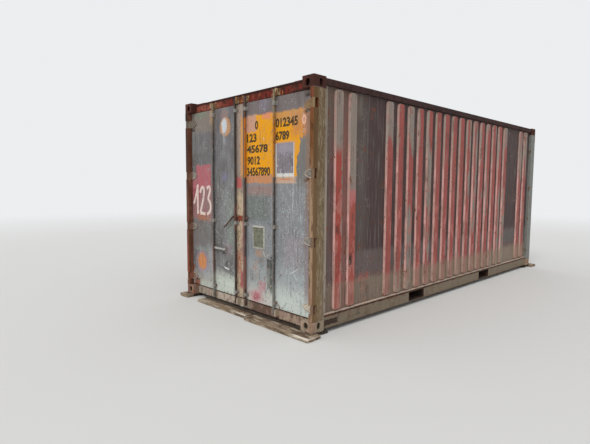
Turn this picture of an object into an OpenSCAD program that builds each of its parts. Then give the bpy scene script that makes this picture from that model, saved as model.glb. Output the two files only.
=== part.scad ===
// Twenty foot steel shipping container with two full-height end doors, standing on timbers.
// X runs along the length with the doors at -X, Y across the width, Z up from the ground.
// The origin is on the ground below the middle of the container.

/* [Container] */
// Length over the corner castings
length = 6058; // [4000:1:9000]
// Width over the corner castings
width = 2438; // [2200:1:2600]
// Height over the corner castings
height = 2591; // [2300:1:2900]
// Thickness of the sheet steel in the walls and the roof
sheet_t = 2; // [1.5:0.1:4]
// Gap between the casting undersides and the rest of the base
base_gap = 12.5; // [8:0.5:20]
// How far the roof lies below the tops of the castings
roof_drop = 10; // [6:0.5:20]

/* [Corner castings] */
// Length of a casting along the container
cast_l = 178; // [170:1:190]
// Width of a casting across the container
cast_w = 162; // [155:1:175]
// Height of a casting
cast_h = 118; // [110:1:125]
// Wall of a casting at its slotted face
cast_face_t = 28; // [20:0.5:32]
// Walls of a casting at its end and side holes
cast_side_t = 16; // [12:0.5:20]
// Other walls of a casting
cast_wall_t = 12; // [8:0.5:13]
// Rounding of a casting's outer upright edge
cast_edge_r = 14; // [8:0.5:14.5]
// Length of the top and bottom slots
slot_l = 124; // [110:1:126]
// Width of the top and bottom slots
slot_w = 63.5; // [50:0.5:70]
// Distance from the end face to the middle of a slot
slot_from_end = 102.5; // [95:0.5:103]
// Distance from the side face to the middle of a slot
slot_from_side = 89.5; // [80:0.5:95]
// Width of the lashing hole in the end face
end_hole_w = 63.5; // [50:0.5:70]
// Width of the lashing hole in the side face
side_hole_w = 51; // [40:0.5:60]

/* [Posts and rails] */
// Plate thickness of the corner posts
post_t = 6; // [4:0.5:8]
// How far the post faces lie inside the casting faces
post_inset = 2; // [1:0.5:3]
// Width of a door post's outer face, seen from the door end
post_face_w = 52; // [50:0.5:54]
// Width of the front corner posts
front_post_w = 90; // [70:1:120]
// Depth of the front rails along the container
front_rail_d = 80; // [60:1:120]
// How far the front rails lie inside the front casting faces
front_rail_inset = 10; // [5:0.5:16]
// Wall of the rails, the header and the sill
rail_t = 4; // [3:0.5:6]
// How far the rail edges lie inside the casting side faces
rail_inset = 12; // [10:0.5:16]
// How far the side rail web stands behind the rail edges
rail_lip = 5; // [3:0.5:8]
// How far the rib faces lie inside the rail edges
wall_inset = 4; // [2:0.5:8]
// Width of the flanges of the bottom side rails
rail_flange_w = 48; // [40:1:60]
// Height of the bottom side rails
bottom_rail_h = 152.5; // [145:0.5:170]
// Height and width of the top side rails
top_rail_s = 64; // [50:1:80]

/* [Door end frame] */
// Distance of the header and sill faces behind the casting faces
frame_face = 84; // [80:0.5:88]
// Distance of the door stops behind the casting faces
stop_face = 126; // [124:0.5:132]
// How far the stops stand out beyond the post faces, the header and the sill
stop_out = 24; // [14:1:30]
// Height of the sill top above the casting undersides
sill_top_h = 125; // [120:1:130]

/* [Walls and roof] */
// Depth of the pressed wall ribs
rib_depth = 30; // [20:1:36]
// Width of the flat outer face of a rib
rib_face = 105; // [80:1:115]
// Sideways run of a rib's sloping flank
rib_flank = 14; // [8:1:20]
// Distance from one rib to the next
rib_pitch = 226.7; // [190:0.1:260]
// Number of ribs between the two flat marking panels
mid_ribs = 16; // [8:2:20]
// Ribs between a marking panel and the corner
end_ribs = 2; // [1:1:3]
// Distance from the corner castings to the middle of the first rib
first_rib = 234; // [150:1:260]
// Radius of the corners of a rib's outer face
rib_corner = 30; // [15:1:40]
// Flat sheet above and below the rib ends
rib_margin = 8; // [4:1:60]
// Depth of the corrugations in the front wall
front_depth = 42; // [25:1:46]
// How far the front wall lies behind the front casting faces
front_inset = 18; // [12:1:30]
// Distance from one front wall corrugation to the next
front_pitch = 250; // [200:1:300]
// Flat width of a front wall crest
front_crest = 75; // [50:1:100]
// Sideways run of a front wall corrugation's flank
front_flank = 21; // [12:1:40]
// Least flat sheet at each side of the front wall
front_edge = 20; // [10:1:60]
// Depth of the roof's pressed troughs
roof_depth = 16; // [8:1:20]
// Distance from one roof trough to the next
roof_pitch = 209; // [180:1:260]
// Flat width of a roof crest
roof_crest = 94; // [60:1:110]
// Least flat roof sheet between the corner castings and the first trough
roof_edge = 110; // [60:5:200]
// Flat roof sheet between the top rails and the ends of the troughs
roof_side = 12; // [5:1:60]
// Thickness of the plates that protect the roof beside the top castings
guard_t = 3; // [2:0.5:4]
// Width of these plates
guard_w = 205; // [150:5:300]

/* [Base] */
// Thickness of the floor
floor_t = 28; // [20:1:32]
// Width of a cross member's flange
member_w = 45; // [35:1:55]
// Distance from one cross member to the next
member_pitch = 300; // [250:1:400]
// Clear width of a fork pocket
pocket_w = 360; // [340:1:380]
// Distance between the middles of the fork pockets
pocket_pitch = 2050; // [1900:10:2100]

/* [Doors] */
// Distance of a hinge pin behind the casting end face and inside the casting side face
pin_inset = 16; // [14:0.5:18]
// Number of hinges on each door leaf
hinge_n = 4; // [3:1:5]
// Height of the lowest hinge above the leaf's lower edge
hinge_low = 112; // [90:1:200]
// Distance of the highest hinge below the leaf's upper edge
hinge_high = 142; // [90:1:250]
// Radius of a hinge pin
pin_r = 6.5; // [5:0.25:8]
// How far a hinge pin stands out of its lugs
pin_proud = 2; // [1:0.5:6]
// Outer radius of a hinge knuckle
knuckle_r = 14; // [12:0.5:15]
// Height of a hinge knuckle
knuckle_h = 96; // [80:1:120]
// Thickness of a hinge lug on the post
lug_t = 16; // [10:1:20]
// Gap above and below a knuckle
knuckle_gap = 1; // [0.5:0.5:3]
// Thickness of the arm between a knuckle and its blade
arm_t = 12; // [8:1:16]
// Length of a hinge blade on the door leaf
blade_l = 124; // [110:1:180]
// Height of a hinge blade at its tip
blade_tip_h = 14; // [8:1:40]
// Thickness of a hinge blade
blade_t = 10; // [6:0.5:12]
// Distance of the door skin behind the hinge pins
skin_back = 50; // [48:0.5:52]
// Thickness of a door leaf
leaf_t = 54; // [48:1:56]
// Thickness of a door panel
panel_t = 24; // [18:1:30]
// Width of a leaf's frame members
leaf_frame_w = 90; // [60:1:120]
// Gap round a leaf to the posts
leaf_side_gap = 9; // [8:0.5:12]
// Gap above and below a leaf
leaf_end_gap = 10; // [9:0.5:12]
// Gap between the two leaves
leaf_mid_gap = 16; // [16:0.5:20]
// How far the rubber seal stands out of the leaf's edge
seal_out = 4; // [2:0.5:4]
// Thickness of the rubber seal
seal_t = 20; // [12:1:24]
// Distance of the seal behind the door skin
seal_back = 12; // [6:1:20]

/* [Locking gear] */
// Radius of a locking bar
bar_r = 13.5; // [12:0.25:15]
// Wall of a locking bar
bar_t = 3.5; // [2.5:0.25:5]
// Distance of the bar axes in front of the door skin
bar_out = 24; // [22:0.5:26]
// Place of bar 1 left of the middle, seen from outside
bar_1_y = 610; // [500:5:700]
// Place of bar 2 left of the middle, seen from outside
bar_2_y = 130; // [110:5:200]
// Place of bar 3 right of the middle, seen from outside
bar_3_y = 62; // [50:2:100]
// Place of bar 4 right of the middle, seen from outside
bar_4_y = 580; // [500:5:700]
// Running clearance between a bar and its guides
bar_play = 0.6; // [0.4:0.1:1]
// Radius of a guide round the bar
guide_r = 18; // [17:0.25:18.5]
// Height of a guide
guide_h = 42; // [30:1:60]
// Width of a guide's foot plate
guide_foot_w = 84; // [70:1:100]
// Thickness of a guide's foot plate
guide_foot_t = 5; // [3:0.5:6]
// Height of the lowest guides above the leaf's lower edge
guide_low = 60; // [40:1:150]
// Distance of the highest guides below the leaf's upper edge
guide_high = 70; // [40:1:150]
// Height of the middle guides above the casting undersides
mid_guide_z = 1050; // [900:10:1400]
// Reach of a cam's tongue from the bar axis
cam_out = 30; // [26:0.5:32]
// Height of a cam
cam_h = 30; // [20:1:40]
// Thickness of a cam's tongue
cam_t = 9; // [6:0.5:12]
// Distance of the upper cams above the header's lower edge
cam_up = 38; // [30:1:50]
// Distance of the lower cams below the sill's upper edge
cam_down = 42; // [30:1:50]
// How far a bar runs on beyond its cams
bar_end = 24; // [16:1:40]
// Height of a keeper
keeper_h = 70; // [60:1:90]
// Thickness of a keeper's walls
keeper_t = 9; // [6:0.5:12]
// Thickness of a keeper's base plate
keeper_plate_t = 4; // [3:0.5:8]
// Free gap between a cam and its keeper
keeper_gap = 5; // [5:0.5:7]
// Height of handle 1 above the casting undersides
handle_1_z = 700; // [500:10:850]
// Height of handle 2 above the casting undersides
handle_2_z = 1120; // [1110:5:1400]
// How far handle 2 hangs below level, in degrees
handle_droop = 38; // [0:1:60]
// Length of a handle from its pivot to its tip
handle_l = 236; // [180:1:280]
// Height of a handle's flat bar
handle_h = 26; // [20:1:32]
// Thickness of a handle's flat bar
handle_t = 8; // [6:0.5:9]
// Distance of a handle's pivot from its bar's axis
pivot_out = 42; // [36:1:50]
// Radius of a handle's pivot
pivot_r = 5; // [4:0.25:6]
// Radius of the flat head on a handle's pivot
pivot_head_r = 8; // [7:0.25:10]
// Thickness of this head
pivot_head_t = 2; // [1:0.25:3]
// Height of a handle's hub on its bar
hub_h = 56; // [40:1:80]
// Thickness of the tab on a hub
tab_t = 8; // [5:0.5:10]
// Radius of a handle's round tip
handle_tip_r = 9; // [7:0.5:10]
// Distance from a handle's tip to the middle of the catch
catch_from_tip = 42; // [30:1:80]
// Width of the catch's ledge
ledge_w = 38; // [20:1:60]
// Thickness of the catch's ledge
ledge_t = 9; // [5:0.5:12]
// How far the ledge stands out from the door skin
ledge_out = 38; // [34:0.5:40]
// Thickness of the catch's plate
catch_t = 4; // [3:0.5:6]
// Width of the catch's plate
catch_w = 48; // [40:1:80]
// Height of the catch's plate
catch_h = 72; // [60:1:100]

/* [Timbers] */
// Thickness of the timbers under the castings
timber_t = 40; // [20:1:100]
// How far the wide plank stands out past the container's end
timber_out = 136; // [60:1:250]
// How far the wide plank stands out past the container's side
timber_side = 86; // [20:1:200]
// Depth of the wide plank along the container
timber_d = 200; // [150:1:400]
// Depth of the plank that lies behind it, under the casting
rear_d = 185; // [100:1:300]
// Place across the width where the wide plank ends
plank_start = -250; // [-600:10:300]
// Place across the width where the plank beside it ends
plank_end = 810; // [600:10:1000]
// Depth of the plank beside it
plank_d = 260; // [240:1:400]
// How far this plank and the block lie behind the wide plank's outer edge
plank_back = 45; // [0:1:120]
// Depth of the block under the other casting
block_d = 250; // [200:1:400]
// Width of this block across the container
block_w = 200; // [170:1:300]
// How far the block stands out past the container's side
block_side = 51; // [20:1:100]

/* [Hidden] */
$fn = 40;

// Sides of the container, with left at +Y as seen by someone facing the doors
LEFT = 1;
RIGHT = -1;

// Main planes
end_x = length / 2;
side_y = width / 2;
base_z = timber_t;
top_z = base_z + height;
roof_z = top_z - roof_drop;
inner_end_x = end_x - cast_l;
inner_side_y = side_y - cast_w;
rail_y = side_y - rail_inset;
web_y = rail_y - rail_lip;
wall_y = rail_y - wall_inset;
sheet_y = wall_y - rib_depth;
header_z = top_z - cast_h;
sill_z = base_z + sill_top_h;
front_rail_x = end_x - front_rail_inset - front_rail_d;
rail_z = base_z + base_gap;
rail_top_z = rail_z + bottom_rail_h;
top_rail_z = roof_z - sheet_t - top_rail_s;
member_z = rail_z + rail_t;
floor_top_z = rail_top_z;
floor_z = floor_top_z - floor_t;

// Hinge line and door leaves
pin_x = -end_x + pin_inset;
pin_y = side_y - pin_inset;
post_front = pin_inset - post_inset;
post_inner = post_face_w - post_front;
stop_y = pin_y - post_inner - stop_out;
leaf_edge = post_inner + leaf_side_gap;
skin_x = pin_x + skin_back;
leaf_y1 = pin_y - leaf_edge;
leaf_y0 = leaf_mid_gap / 2;
leaf_z0 = sill_z + leaf_end_gap;
leaf_z1 = header_z - leaf_end_gap;
notch_h = knuckle_h + 2 * (lug_t + knuckle_gap);
notch_back = skin_back + 2;
hinge_play = 0.5;
pin_play = 0.3;
hinge_z = [for (i = [0 : hinge_n - 1])
    leaf_z0 + hinge_low + i * (leaf_z1 - leaf_z0 - hinge_low - hinge_high) / (hinge_n - 1)];

// Locking gear
bar_x = skin_x - bar_out;
cam_top_z = header_z + cam_up;
cam_low_z = sill_z - cam_down;
cam_set = 2;
low_guide_z = leaf_z0 + guide_low;
high_guide_z = leaf_z1 - guide_high;
guide_z = [low_guide_z, base_z + mid_guide_z, high_guide_z];
lip_start = bar_r + keeper_gap;
keeper_wall = cam_out + keeper_gap;
hub_r = guide_r - 0.5;
pivot_play = 0.3;
handle_gap = 0.5;
seat_gap = 0.3;

// One side of a pressed sheet: flat crests at 0, troughs at -depth, worked out along X
function wave(n, pitch, depth, flank, flat, start, drop) = [
    for (i = [0 : n - 1]) each [
        [start + i * pitch + flat, -drop],
        [start + i * pitch + flat + flank, -depth - drop],
        [start + (i + 1) * pitch - flank, -depth - drop],
        [start + (i + 1) * pitch, -drop]
    ]
];
function back_to_front(list) = [for (i = [len(list) - 1 : -1 : 0]) list[i]];

// Moves a piece drawn from a hinge line, with +X inwards and +Y towards the middle
module at_pin(side) {
    translate([pin_x, side * pin_y, 0])
        mirror([0, side == LEFT ? 1 : 0, 0])
            children();
}

// Copies a piece of the +Y half to one side
module on_side(side) {
    mirror([0, side == LEFT ? 0 : 1, 0]) children();
}

// A box from one corner to the opposite one
module span(low, high) {
    translate(low) cube(high - low);
}

// A straight slot with round ends, its length along X, cut along Z
module slot(l, w, h) {
    translate([0, 0, h / 2]) cube([l - w, w, h], center = true);
    for (s = [-1, 1]) translate([s * (l - w) / 2, 0, 0]) cylinder(r = w / 2, h = h);
}

// Plan of a casting, with its outer corner at the origin and rounded
module casting_plan() {
    translate([cast_edge_r, 0]) square([cast_l - cast_edge_r, cast_w]);
    translate([0, cast_edge_r]) square([cast_l, cast_w - cast_edge_r]);
    translate([cast_edge_r, cast_edge_r]) circle(r = cast_edge_r);
}

// Hollow corner casting with its slotted face down and its outer corner at the origin
module casting() {
    room_h = cast_h - cast_face_t - cast_wall_t;
    room = [cast_l - cast_side_t - cast_wall_t, cast_w - cast_side_t - cast_wall_t, room_h];
    difference() {
        linear_extrude(cast_h) casting_plan();
        translate([cast_side_t, cast_side_t, cast_face_t]) cube(room);
        translate([slot_from_end, slot_from_side, -1])
            slot(slot_l, slot_w, cast_face_t + 2);
        translate([-1, slot_from_side, cast_face_t + room_h / 2])
            rotate([0, 90, 0]) slot(room_h, end_hole_w, cast_side_t + 2);
        translate([slot_from_end, -1, cast_face_t + room_h / 2])
            rotate([-90, 90, 0]) slot(room_h, side_hole_w, cast_side_t + 2);
    }
}

module corner_castings(z, up) {
    for (sx = [0, 1]) for (sy = [0, 1])
        mirror([sx, 0, 0]) mirror([0, sy, 0])
            translate([-end_x, -side_y, z]) mirror([0, 0, up]) casting();
}

module bottom_castings() {
    color("#5a3a30") corner_castings(base_z, 0);
}

module top_castings() {
    color("#5a3a30") corner_castings(top_z, 1);
}

// Plan of a door post, with the stop behind the leaf's edge
module door_post_plan(wall) {
    front = -post_front + wall;
    back = cast_l - pin_inset - wall;
    stop = stop_face - pin_inset + wall;
    polygon([
        [front, front], [back, front], [back, post_inner + stop_out - wall],
        [stop, post_inner + stop_out - wall], [stop, post_inner - wall],
        [front, post_inner - wall]
    ]);
}

// Hollow post, open at each hinge, where lugs above and below hold the pin
module door_post(side) {
    low = base_z + cast_h;
    room_h = knuckle_h + 2 * knuckle_gap;
    color("#8f5a30") at_pin(side) difference() {
        union() {
            difference() {
                translate([0, 0, low]) linear_extrude(header_z - low) door_post_plan(0);
                translate([0, 0, low - 1]) linear_extrude(header_z - low + 2)
                    door_post_plan(post_t);
            }
            for (z = hinge_z)
                translate([-post_front, -post_front, z - notch_h / 2])
                    cube([notch_back + post_t + post_front, post_face_w, notch_h]);
        }
        for (z = hinge_z)
            translate([-post_front - 1, -post_front - 1, z - room_h / 2])
                cube([notch_back + post_front + 1, post_face_w + 2, room_h]);
        for (z = hinge_z)
            translate([0, 0, z - notch_h / 2 - 1]) cylinder(r = pin_r + pin_play, h = notch_h + 2);
    }
}

module left_door_post() {
    door_post(LEFT);
}

module right_door_post() {
    door_post(RIGHT);
}

// Plain hollow post at the closed front end
module front_post(side) {
    low = base_z + cast_h;
    color("#6e6250") on_side(side) difference() {
        span([inner_end_x, side_y - post_inset - front_post_w, low],
            [end_x - post_inset, side_y - post_inset, header_z]);
        span([inner_end_x + post_t, side_y - post_inset - front_post_w + post_t, low - 1],
            [end_x - post_inset - post_t, side_y - post_inset - post_t, header_z + 1]);
    }
}

module left_front_post() {
    front_post(LEFT);
}

module right_front_post() {
    front_post(RIGHT);
}

// A hollow rail along Y from one corner to the opposite one
module cross_tube(low, high) {
    difference() {
        span(low, high);
        span(low + [rail_t, -1, rail_t], high + [-rail_t, 1, -rail_t]);
    }
}

module door_header() {
    color("#5c332e") cross_tube([-end_x + frame_face, -inner_side_y, header_z],
        [-inner_end_x, inner_side_y, roof_z - sheet_t]);
}

module door_sill() {
    color("#6b5648") cross_tube([-end_x + frame_face, -inner_side_y, rail_z],
        [-inner_end_x, inner_side_y, sill_z]);
}

// Bars behind the upper and lower edges of the leaves, from one post to the other
module door_stops() {
    color("#5c332e") {
        span([-end_x + stop_face, -stop_y, header_z - leaf_end_gap - stop_out],
            [-inner_end_x, stop_y, header_z]);
        span([-end_x + stop_face, -stop_y, sill_z], [-inner_end_x, stop_y, floor_top_z]);
    }
}

module front_top_rail() {
    color("#5c332e") cross_tube([front_rail_x, -inner_side_y, header_z],
        [front_rail_x + front_rail_d, inner_side_y, roof_z - sheet_t]);
}

module front_bottom_rail() {
    color("#6b5648") cross_tube([front_rail_x, -inner_side_y, rail_z],
        [front_rail_x + front_rail_d, inner_side_y, base_z + cast_h]);
}

// Hollow rail at the top of a side wall
module top_rail(side) {
    color("#54302c") on_side(side) difference() {
        span([-inner_end_x, rail_y - top_rail_s, top_rail_z],
            [inner_end_x, rail_y, top_rail_z + top_rail_s]);
        span([-inner_end_x - 1, rail_y - top_rail_s + rail_t, top_rail_z + rail_t],
            [inner_end_x + 1, rail_y - rail_t, top_rail_z + top_rail_s - rail_t]);
    }
}

module left_top_rail() {
    top_rail(LEFT);
}

module right_top_rail() {
    top_rail(RIGHT);
}

// Channel along the bottom of a side, with the fork pockets cut through its web
module bottom_rail(side) {
    color("#8a8478") on_side(side) difference() {
        union() {
            span([-inner_end_x, web_y - rail_t, rail_z], [inner_end_x, web_y, rail_top_z]);
            for (z = [rail_z, rail_top_z - rail_t])
                span([-inner_end_x, rail_y - rail_flange_w, z],
                    [inner_end_x, rail_y, z + rail_t]);
        }
        for (s = [-1, 1])
            span([s * pocket_pitch / 2 - pocket_w / 2 - rail_t, web_y - rail_t - 1, member_z],
                [s * pocket_pitch / 2 + pocket_w / 2 + rail_t, web_y + 1, floor_z]);
    }
}

module left_bottom_rail() {
    bottom_rail(LEFT);
}

module right_bottom_rail() {
    bottom_rail(RIGHT);
}

// Roof of pressed sheet with troughs across it and a flat edge all round
module roof_panel() {
    bay = 2 * (inner_end_x - roof_edge);
    n = floor(bay / roof_pitch);
    start = -n * roof_pitch / 2;
    flank = roof_depth;
    half_y = rail_y - top_rail_s - roof_side;
    outer = wave(n, roof_pitch, roof_depth, flank, roof_crest, start, 0);
    inner = wave(n, roof_pitch, roof_depth, flank, roof_crest, start, sheet_t);
    color("#6a5a50") translate([0, 0, roof_z]) {
        difference() {
            span([-inner_end_x, -rail_y, -sheet_t], [inner_end_x, rail_y, 0]);
            span([start, -half_y, -sheet_t - 1], [-start, half_y, 1]);
        }
        translate([0, half_y, 0]) rotate([90, 0, 0]) linear_extrude(2 * half_y)
            polygon(concat([[start, -sheet_t], [start, 0]], outer, back_to_front(inner)));
        for (s = [-1, 1])
            span([start, s * half_y - (s > 0 ? 0 : sheet_t), -roof_depth - sheet_t],
                [-start, s * half_y + (s > 0 ? sheet_t : 0), 0]);
    }
}

// Flat plate between the castings at one end, with a guard beside each of them
module roof_end_plate(outer_x) {
    span([inner_end_x, -inner_side_y, -sheet_t], [outer_x, inner_side_y, 0]);
    for (s = [0, 1]) mirror([0, s, 0])
        span([inner_end_x - roof_edge, inner_side_y - guard_w, 0],
            [outer_x, inner_side_y, guard_t]);
}

module roof_end_plates() {
    color("#5c332e") translate([0, 0, roof_z]) {
        roof_end_plate(end_x - front_rail_inset);
        mirror([1, 0, 0]) roof_end_plate(end_x - frame_face);
    }
}

// Middles of the ribs of one side wall, from one end to the other
rib_x = concat(
    [for (i = [0 : end_ribs - 1]) -inner_end_x + first_rib + i * rib_pitch],
    [for (i = [0 : mid_ribs - 1]) (i - (mid_ribs - 1) / 2) * rib_pitch],
    [for (i = [0 : end_ribs - 1]) inner_end_x - first_rib - i * rib_pitch]
);

// A rib with rounded corners, from a plane y = start outwards, made smaller by an inset
module rib_body(low, high, start, inset) {
    corner_x = rib_face / 2 - rib_corner;
    foot_r = rib_corner + rib_flank - inset;
    top_r = rib_corner - inset;
    foot_x = corner_x + foot_r;
    top_x = corner_x + top_r;
    crest = rib_depth - inset;
    translate([0, 0, low]) linear_extrude(high - low)
        polygon([[-foot_x, start], [foot_x, start], [top_x, crest], [-top_x, crest]]);
    translate([-corner_x, 0, 0]) rotate([90, 0, 90]) linear_extrude(2 * corner_x)
        polygon([[start, low - foot_r], [crest, low - top_r],
            [crest, high + top_r], [start, high + foot_r]]);
    for (x = [-corner_x, corner_x], z = [low, high])
        translate([x, start, z]) rotate([-90, 0, 0])
            cylinder(r1 = foot_r, r2 = top_r, h = crest - start);
}

// Side wall pressed from sheet, ribs outwards, with two flat marking panels
module side_wall(side) {
    end_r = rib_corner + rib_flank;
    low = rail_top_z + rib_margin + end_r;
    high = top_rail_z - rib_margin - end_r;
    color("#9c8c80") on_side(side) difference() {
        union() {
            span([-inner_end_x, sheet_y - sheet_t, rail_top_z],
                [inner_end_x, sheet_y, top_rail_z]);
            for (x = rib_x) translate([x, sheet_y, 0]) rib_body(low, high, 0, 0);
        }
        for (x = rib_x)
            translate([x, sheet_y, 0]) rib_body(low, high, -sheet_t - 1, sheet_t);
    }
}

module left_side_wall() {
    side_wall(LEFT);
}

module right_side_wall() {
    side_wall(RIGHT);
}

// Front wall of pressed sheet with upright corrugations
module front_wall() {
    half_y = side_y - post_inset - front_post_w;
    n = floor(2 * (half_y - front_edge) / front_pitch);
    start = -n * front_pitch / 2;
    outer = wave(n, front_pitch, front_depth, front_flank, front_crest, start, 0);
    inner = wave(n, front_pitch, front_depth, front_flank, front_crest, start, sheet_t);
    color("#7a5a50") translate([end_x - front_inset, 0, base_z + cast_h]) mirror([1, -1, 0])
        linear_extrude(header_z - base_z - cast_h)
            polygon(concat([[-half_y, -sheet_t], [-half_y, 0]], outer,
                [[half_y, 0], [half_y, -sheet_t]], back_to_front(inner)));
}

module floor_boards() {
    front_x = end_x - front_inset - front_depth - sheet_t;
    color("#7a6a58") {
        span([-inner_end_x, -web_y + rail_flange_w, floor_z],
            [inner_end_x, web_y - rail_flange_w, floor_top_z]);
        span([inner_end_x, -side_y + post_inset + front_post_w, floor_z],
            [front_x, side_y - post_inset - front_post_w, floor_top_z]);
    }
}

// Channels across the base, left out where the fork pockets run
module cross_members() {
    n = floor(2 * (inner_end_x - member_w) / member_pitch);
    clear = pocket_w / 2 + rail_t + member_w;
    half_y = web_y - rail_t;
    color("#5a4a40") for (i = [0 : n]) {
        x = (i - n / 2) * member_pitch;
        if (abs(abs(x) - pocket_pitch / 2) > clear)
            translate([x - member_w / 2, 0, 0]) difference() {
                span([0, -half_y, member_z], [member_w, half_y, floor_z]);
                span([rail_t, -half_y - 1, member_z + rail_t],
                    [member_w + 1, half_y + 1, floor_z - rail_t]);
            }
    }
}

// Steel tunnels for a fork truck, right across the base
module fork_pockets() {
    color("#5a4a40") for (s = [-1, 1]) translate([s * pocket_pitch / 2, 0, 0]) difference() {
        span([-pocket_w / 2 - rail_t, -web_y, member_z], [pocket_w / 2 + rail_t, web_y, floor_z]);
        span([-pocket_w / 2, -web_y - 1, member_z + rail_t],
            [pocket_w / 2, web_y + 1, floor_z - rail_t]);
    }
}

// Side of each bar on which its cam's tongue points, as a sign of Y
BARS = [[bar_1_y, 1], [bar_2_y, -1], [-bar_3_y, 1], [-bar_4_y, -1]];

// Hooked keeper in front of which a cam's tongue can't pass while the bar is locked
module keeper(z, face_x) {
    tail = -bar_r - 14;
    outside = keeper_wall + keeper_t;
    toe = outside + 12;
    bevel = keeper_t / 2;
    plate = face_x - keeper_plate_t;
    back = bar_x + cam_set - keeper_gap;
    front = back - keeper_t;
    translate([0, 0, z - keeper_h / 2]) linear_extrude(keeper_h) polygon([
        [face_x, tail], [face_x, toe], [plate, toe], [plate, outside],
        [front + bevel, outside], [front, outside - bevel],
        [front, lip_start + bevel], [front + bevel, lip_start], [back, lip_start],
        [back, keeper_wall], [plate, keeper_wall], [plate, tail]
    ]);
}

module keepers(z) {
    for (bar = BARS)
        translate([0, bar[0], 0]) mirror([0, bar[1] > 0 ? 0 : 1, 0])
            keeper(z, -end_x + frame_face);
}

module header_keepers() {
    color("#7a5a4c") keepers(cam_top_z);
}

module sill_keepers() {
    color("#b8a898") keepers(cam_low_z);
}

module hinge_pins() {
    color("#4a3a34") for (side = [LEFT, RIGHT]) at_pin(side)
        for (z = hinge_z) translate([0, 0, z - notch_h / 2 - pin_proud])
            cylinder(r = pin_r, h = notch_h + 2 * pin_proud);
}

// Perimeter frame of a door leaf
module door_frame(side) {
    w = leaf_frame_w;
    color("#7c7c82") on_side(side) difference() {
        span([skin_x, leaf_y0, leaf_z0], [skin_x + leaf_t, leaf_y1, leaf_z1]);
        span([skin_x - 1, leaf_y0 + w, leaf_z0 + w],
            [skin_x + leaf_t + 1, leaf_y1 - w, leaf_z1 - w]);
    }
}

module left_door_frame() {
    door_frame(LEFT);
}

module right_door_frame() {
    door_frame(RIGHT);
}

// Flat panel that fills a leaf's frame, flush with its outer face
module door_panel(side) {
    w = leaf_frame_w;
    color("#808084") on_side(side)
        span([skin_x, leaf_y0 + w, leaf_z0 + w], [skin_x + panel_t, leaf_y1 - w, leaf_z1 - w]);
}

module left_door_panel() {
    door_panel(LEFT);
}

module right_door_panel() {
    door_panel(RIGHT);
}

// Rubber seal round the edge of a leaf
module door_seal(side) {
    x0 = skin_x + seal_back;
    color("#26262a") on_side(side) difference() {
        span([x0, leaf_y0 - seal_out, leaf_z0 - seal_out],
            [x0 + seal_t, leaf_y1 + seal_out, leaf_z1 + seal_out]);
        span([x0 - 1, leaf_y0, leaf_z0], [x0 + seal_t + 1, leaf_y1, leaf_z1]);
    }
}

module left_door_seal() {
    door_seal(LEFT);
}

module right_door_seal() {
    door_seal(RIGHT);
}

// One hinge blade: knuckle round the pin, cranked arm and strap on the skin that curves to its tip
module hinge_blade(z) {
    landing = 8;
    shoulder = 18;
    taper_steps = 6;
    angle = atan2(leaf_edge + landing, skin_back - blade_t / 2);
    out = [-sin(angle), cos(angle)] * arm_t / 2;
    face = skin_back - blade_t;
    outer_y = out[1] + (face - out[0]) * tan(angle);
    inner_y = -out[1] + (skin_back + out[0]) * tan(angle);
    taper_y = outer_y + shoulder;
    taper_l = leaf_edge + blade_l - taper_y;
    taper = [for (i = [0 : taper_steps]) let (t = i / taper_steps)
        [taper_y + taper_l * t, knuckle_h / 2 - (knuckle_h - blade_tip_h) / 2 * t * t]];
    low_edge = [for (point = taper) [point[0], -point[1]]];
    high_edge = [for (i = [taper_steps : -1 : 0]) taper[i]];
    difference() {
        union() {
            translate([0, 0, z - knuckle_h / 2]) {
                cylinder(r = knuckle_r, h = knuckle_h);
                linear_extrude(knuckle_h) polygon([
                    out, [face, outer_y], [skin_back, outer_y], [skin_back, inner_y], -out
                ]);
            }
            translate([face, 0, z]) rotate([90, 0, 90]) linear_extrude(blade_t) polygon(
                concat([[outer_y, -knuckle_h / 2]], low_edge, high_edge, [[outer_y, knuckle_h / 2]])
            );
        }
        translate([0, 0, z - knuckle_h / 2 - 1])
            cylinder(r = pin_r + hinge_play, h = knuckle_h + 2);
    }
}

module left_door_hinges() {
    color("#8a8880") at_pin(LEFT) for (z = hinge_z) hinge_blade(z);
}

module right_door_hinges() {
    color("#8a8880") at_pin(RIGHT) for (z = hinge_z) hinge_blade(z);
}

// Guide that carries a bar: a foot plate on the skin and a saddle round the bar
module bar_guide(z) {
    translate([bar_x, 0, z - guide_h / 2]) difference() {
        union() {
            cylinder(r = guide_r, h = guide_h);
            translate([0, -guide_r, 0]) cube([bar_out, 2 * guide_r, guide_h]);
            translate([bar_out - guide_foot_t, -guide_foot_w / 2, 0])
                cube([guide_foot_t, guide_foot_w, guide_h]);
        }
        translate([0, 0, -1]) cylinder(r = bar_r + bar_play, h = guide_h + 2);
    }
}

module left_bar_guides() {
    color("#86868a") for (y = [bar_1_y, bar_2_y]) translate([0, y, 0])
        for (z = guide_z) bar_guide(z);
}

module right_bar_guides() {
    color("#86868a") for (y = [-bar_3_y, -bar_4_y]) translate([0, y, 0])
        for (z = guide_z) bar_guide(z);
}

// Tongue at a bar's end, which points to +Y and lies behind the keeper's lip, on a web
module cam(z) {
    nose = cam_t / 2;
    web_t = 6;
    web_r = cam_out * 2 / 3;
    translate([cam_set, 0, z - cam_h / 2]) linear_extrude(cam_h) {
        square([cam_t, cam_out - nose]);
        translate([nose, cam_out - nose]) circle(r = nose);
    }
    translate([0, 0, z - web_t / 2]) linear_extrude(web_t)
        polygon([[0, 0], [web_r, 0], [web_r, web_r / 2], [cam_set + cam_t, web_r], [0, web_r]]);
}

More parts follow.
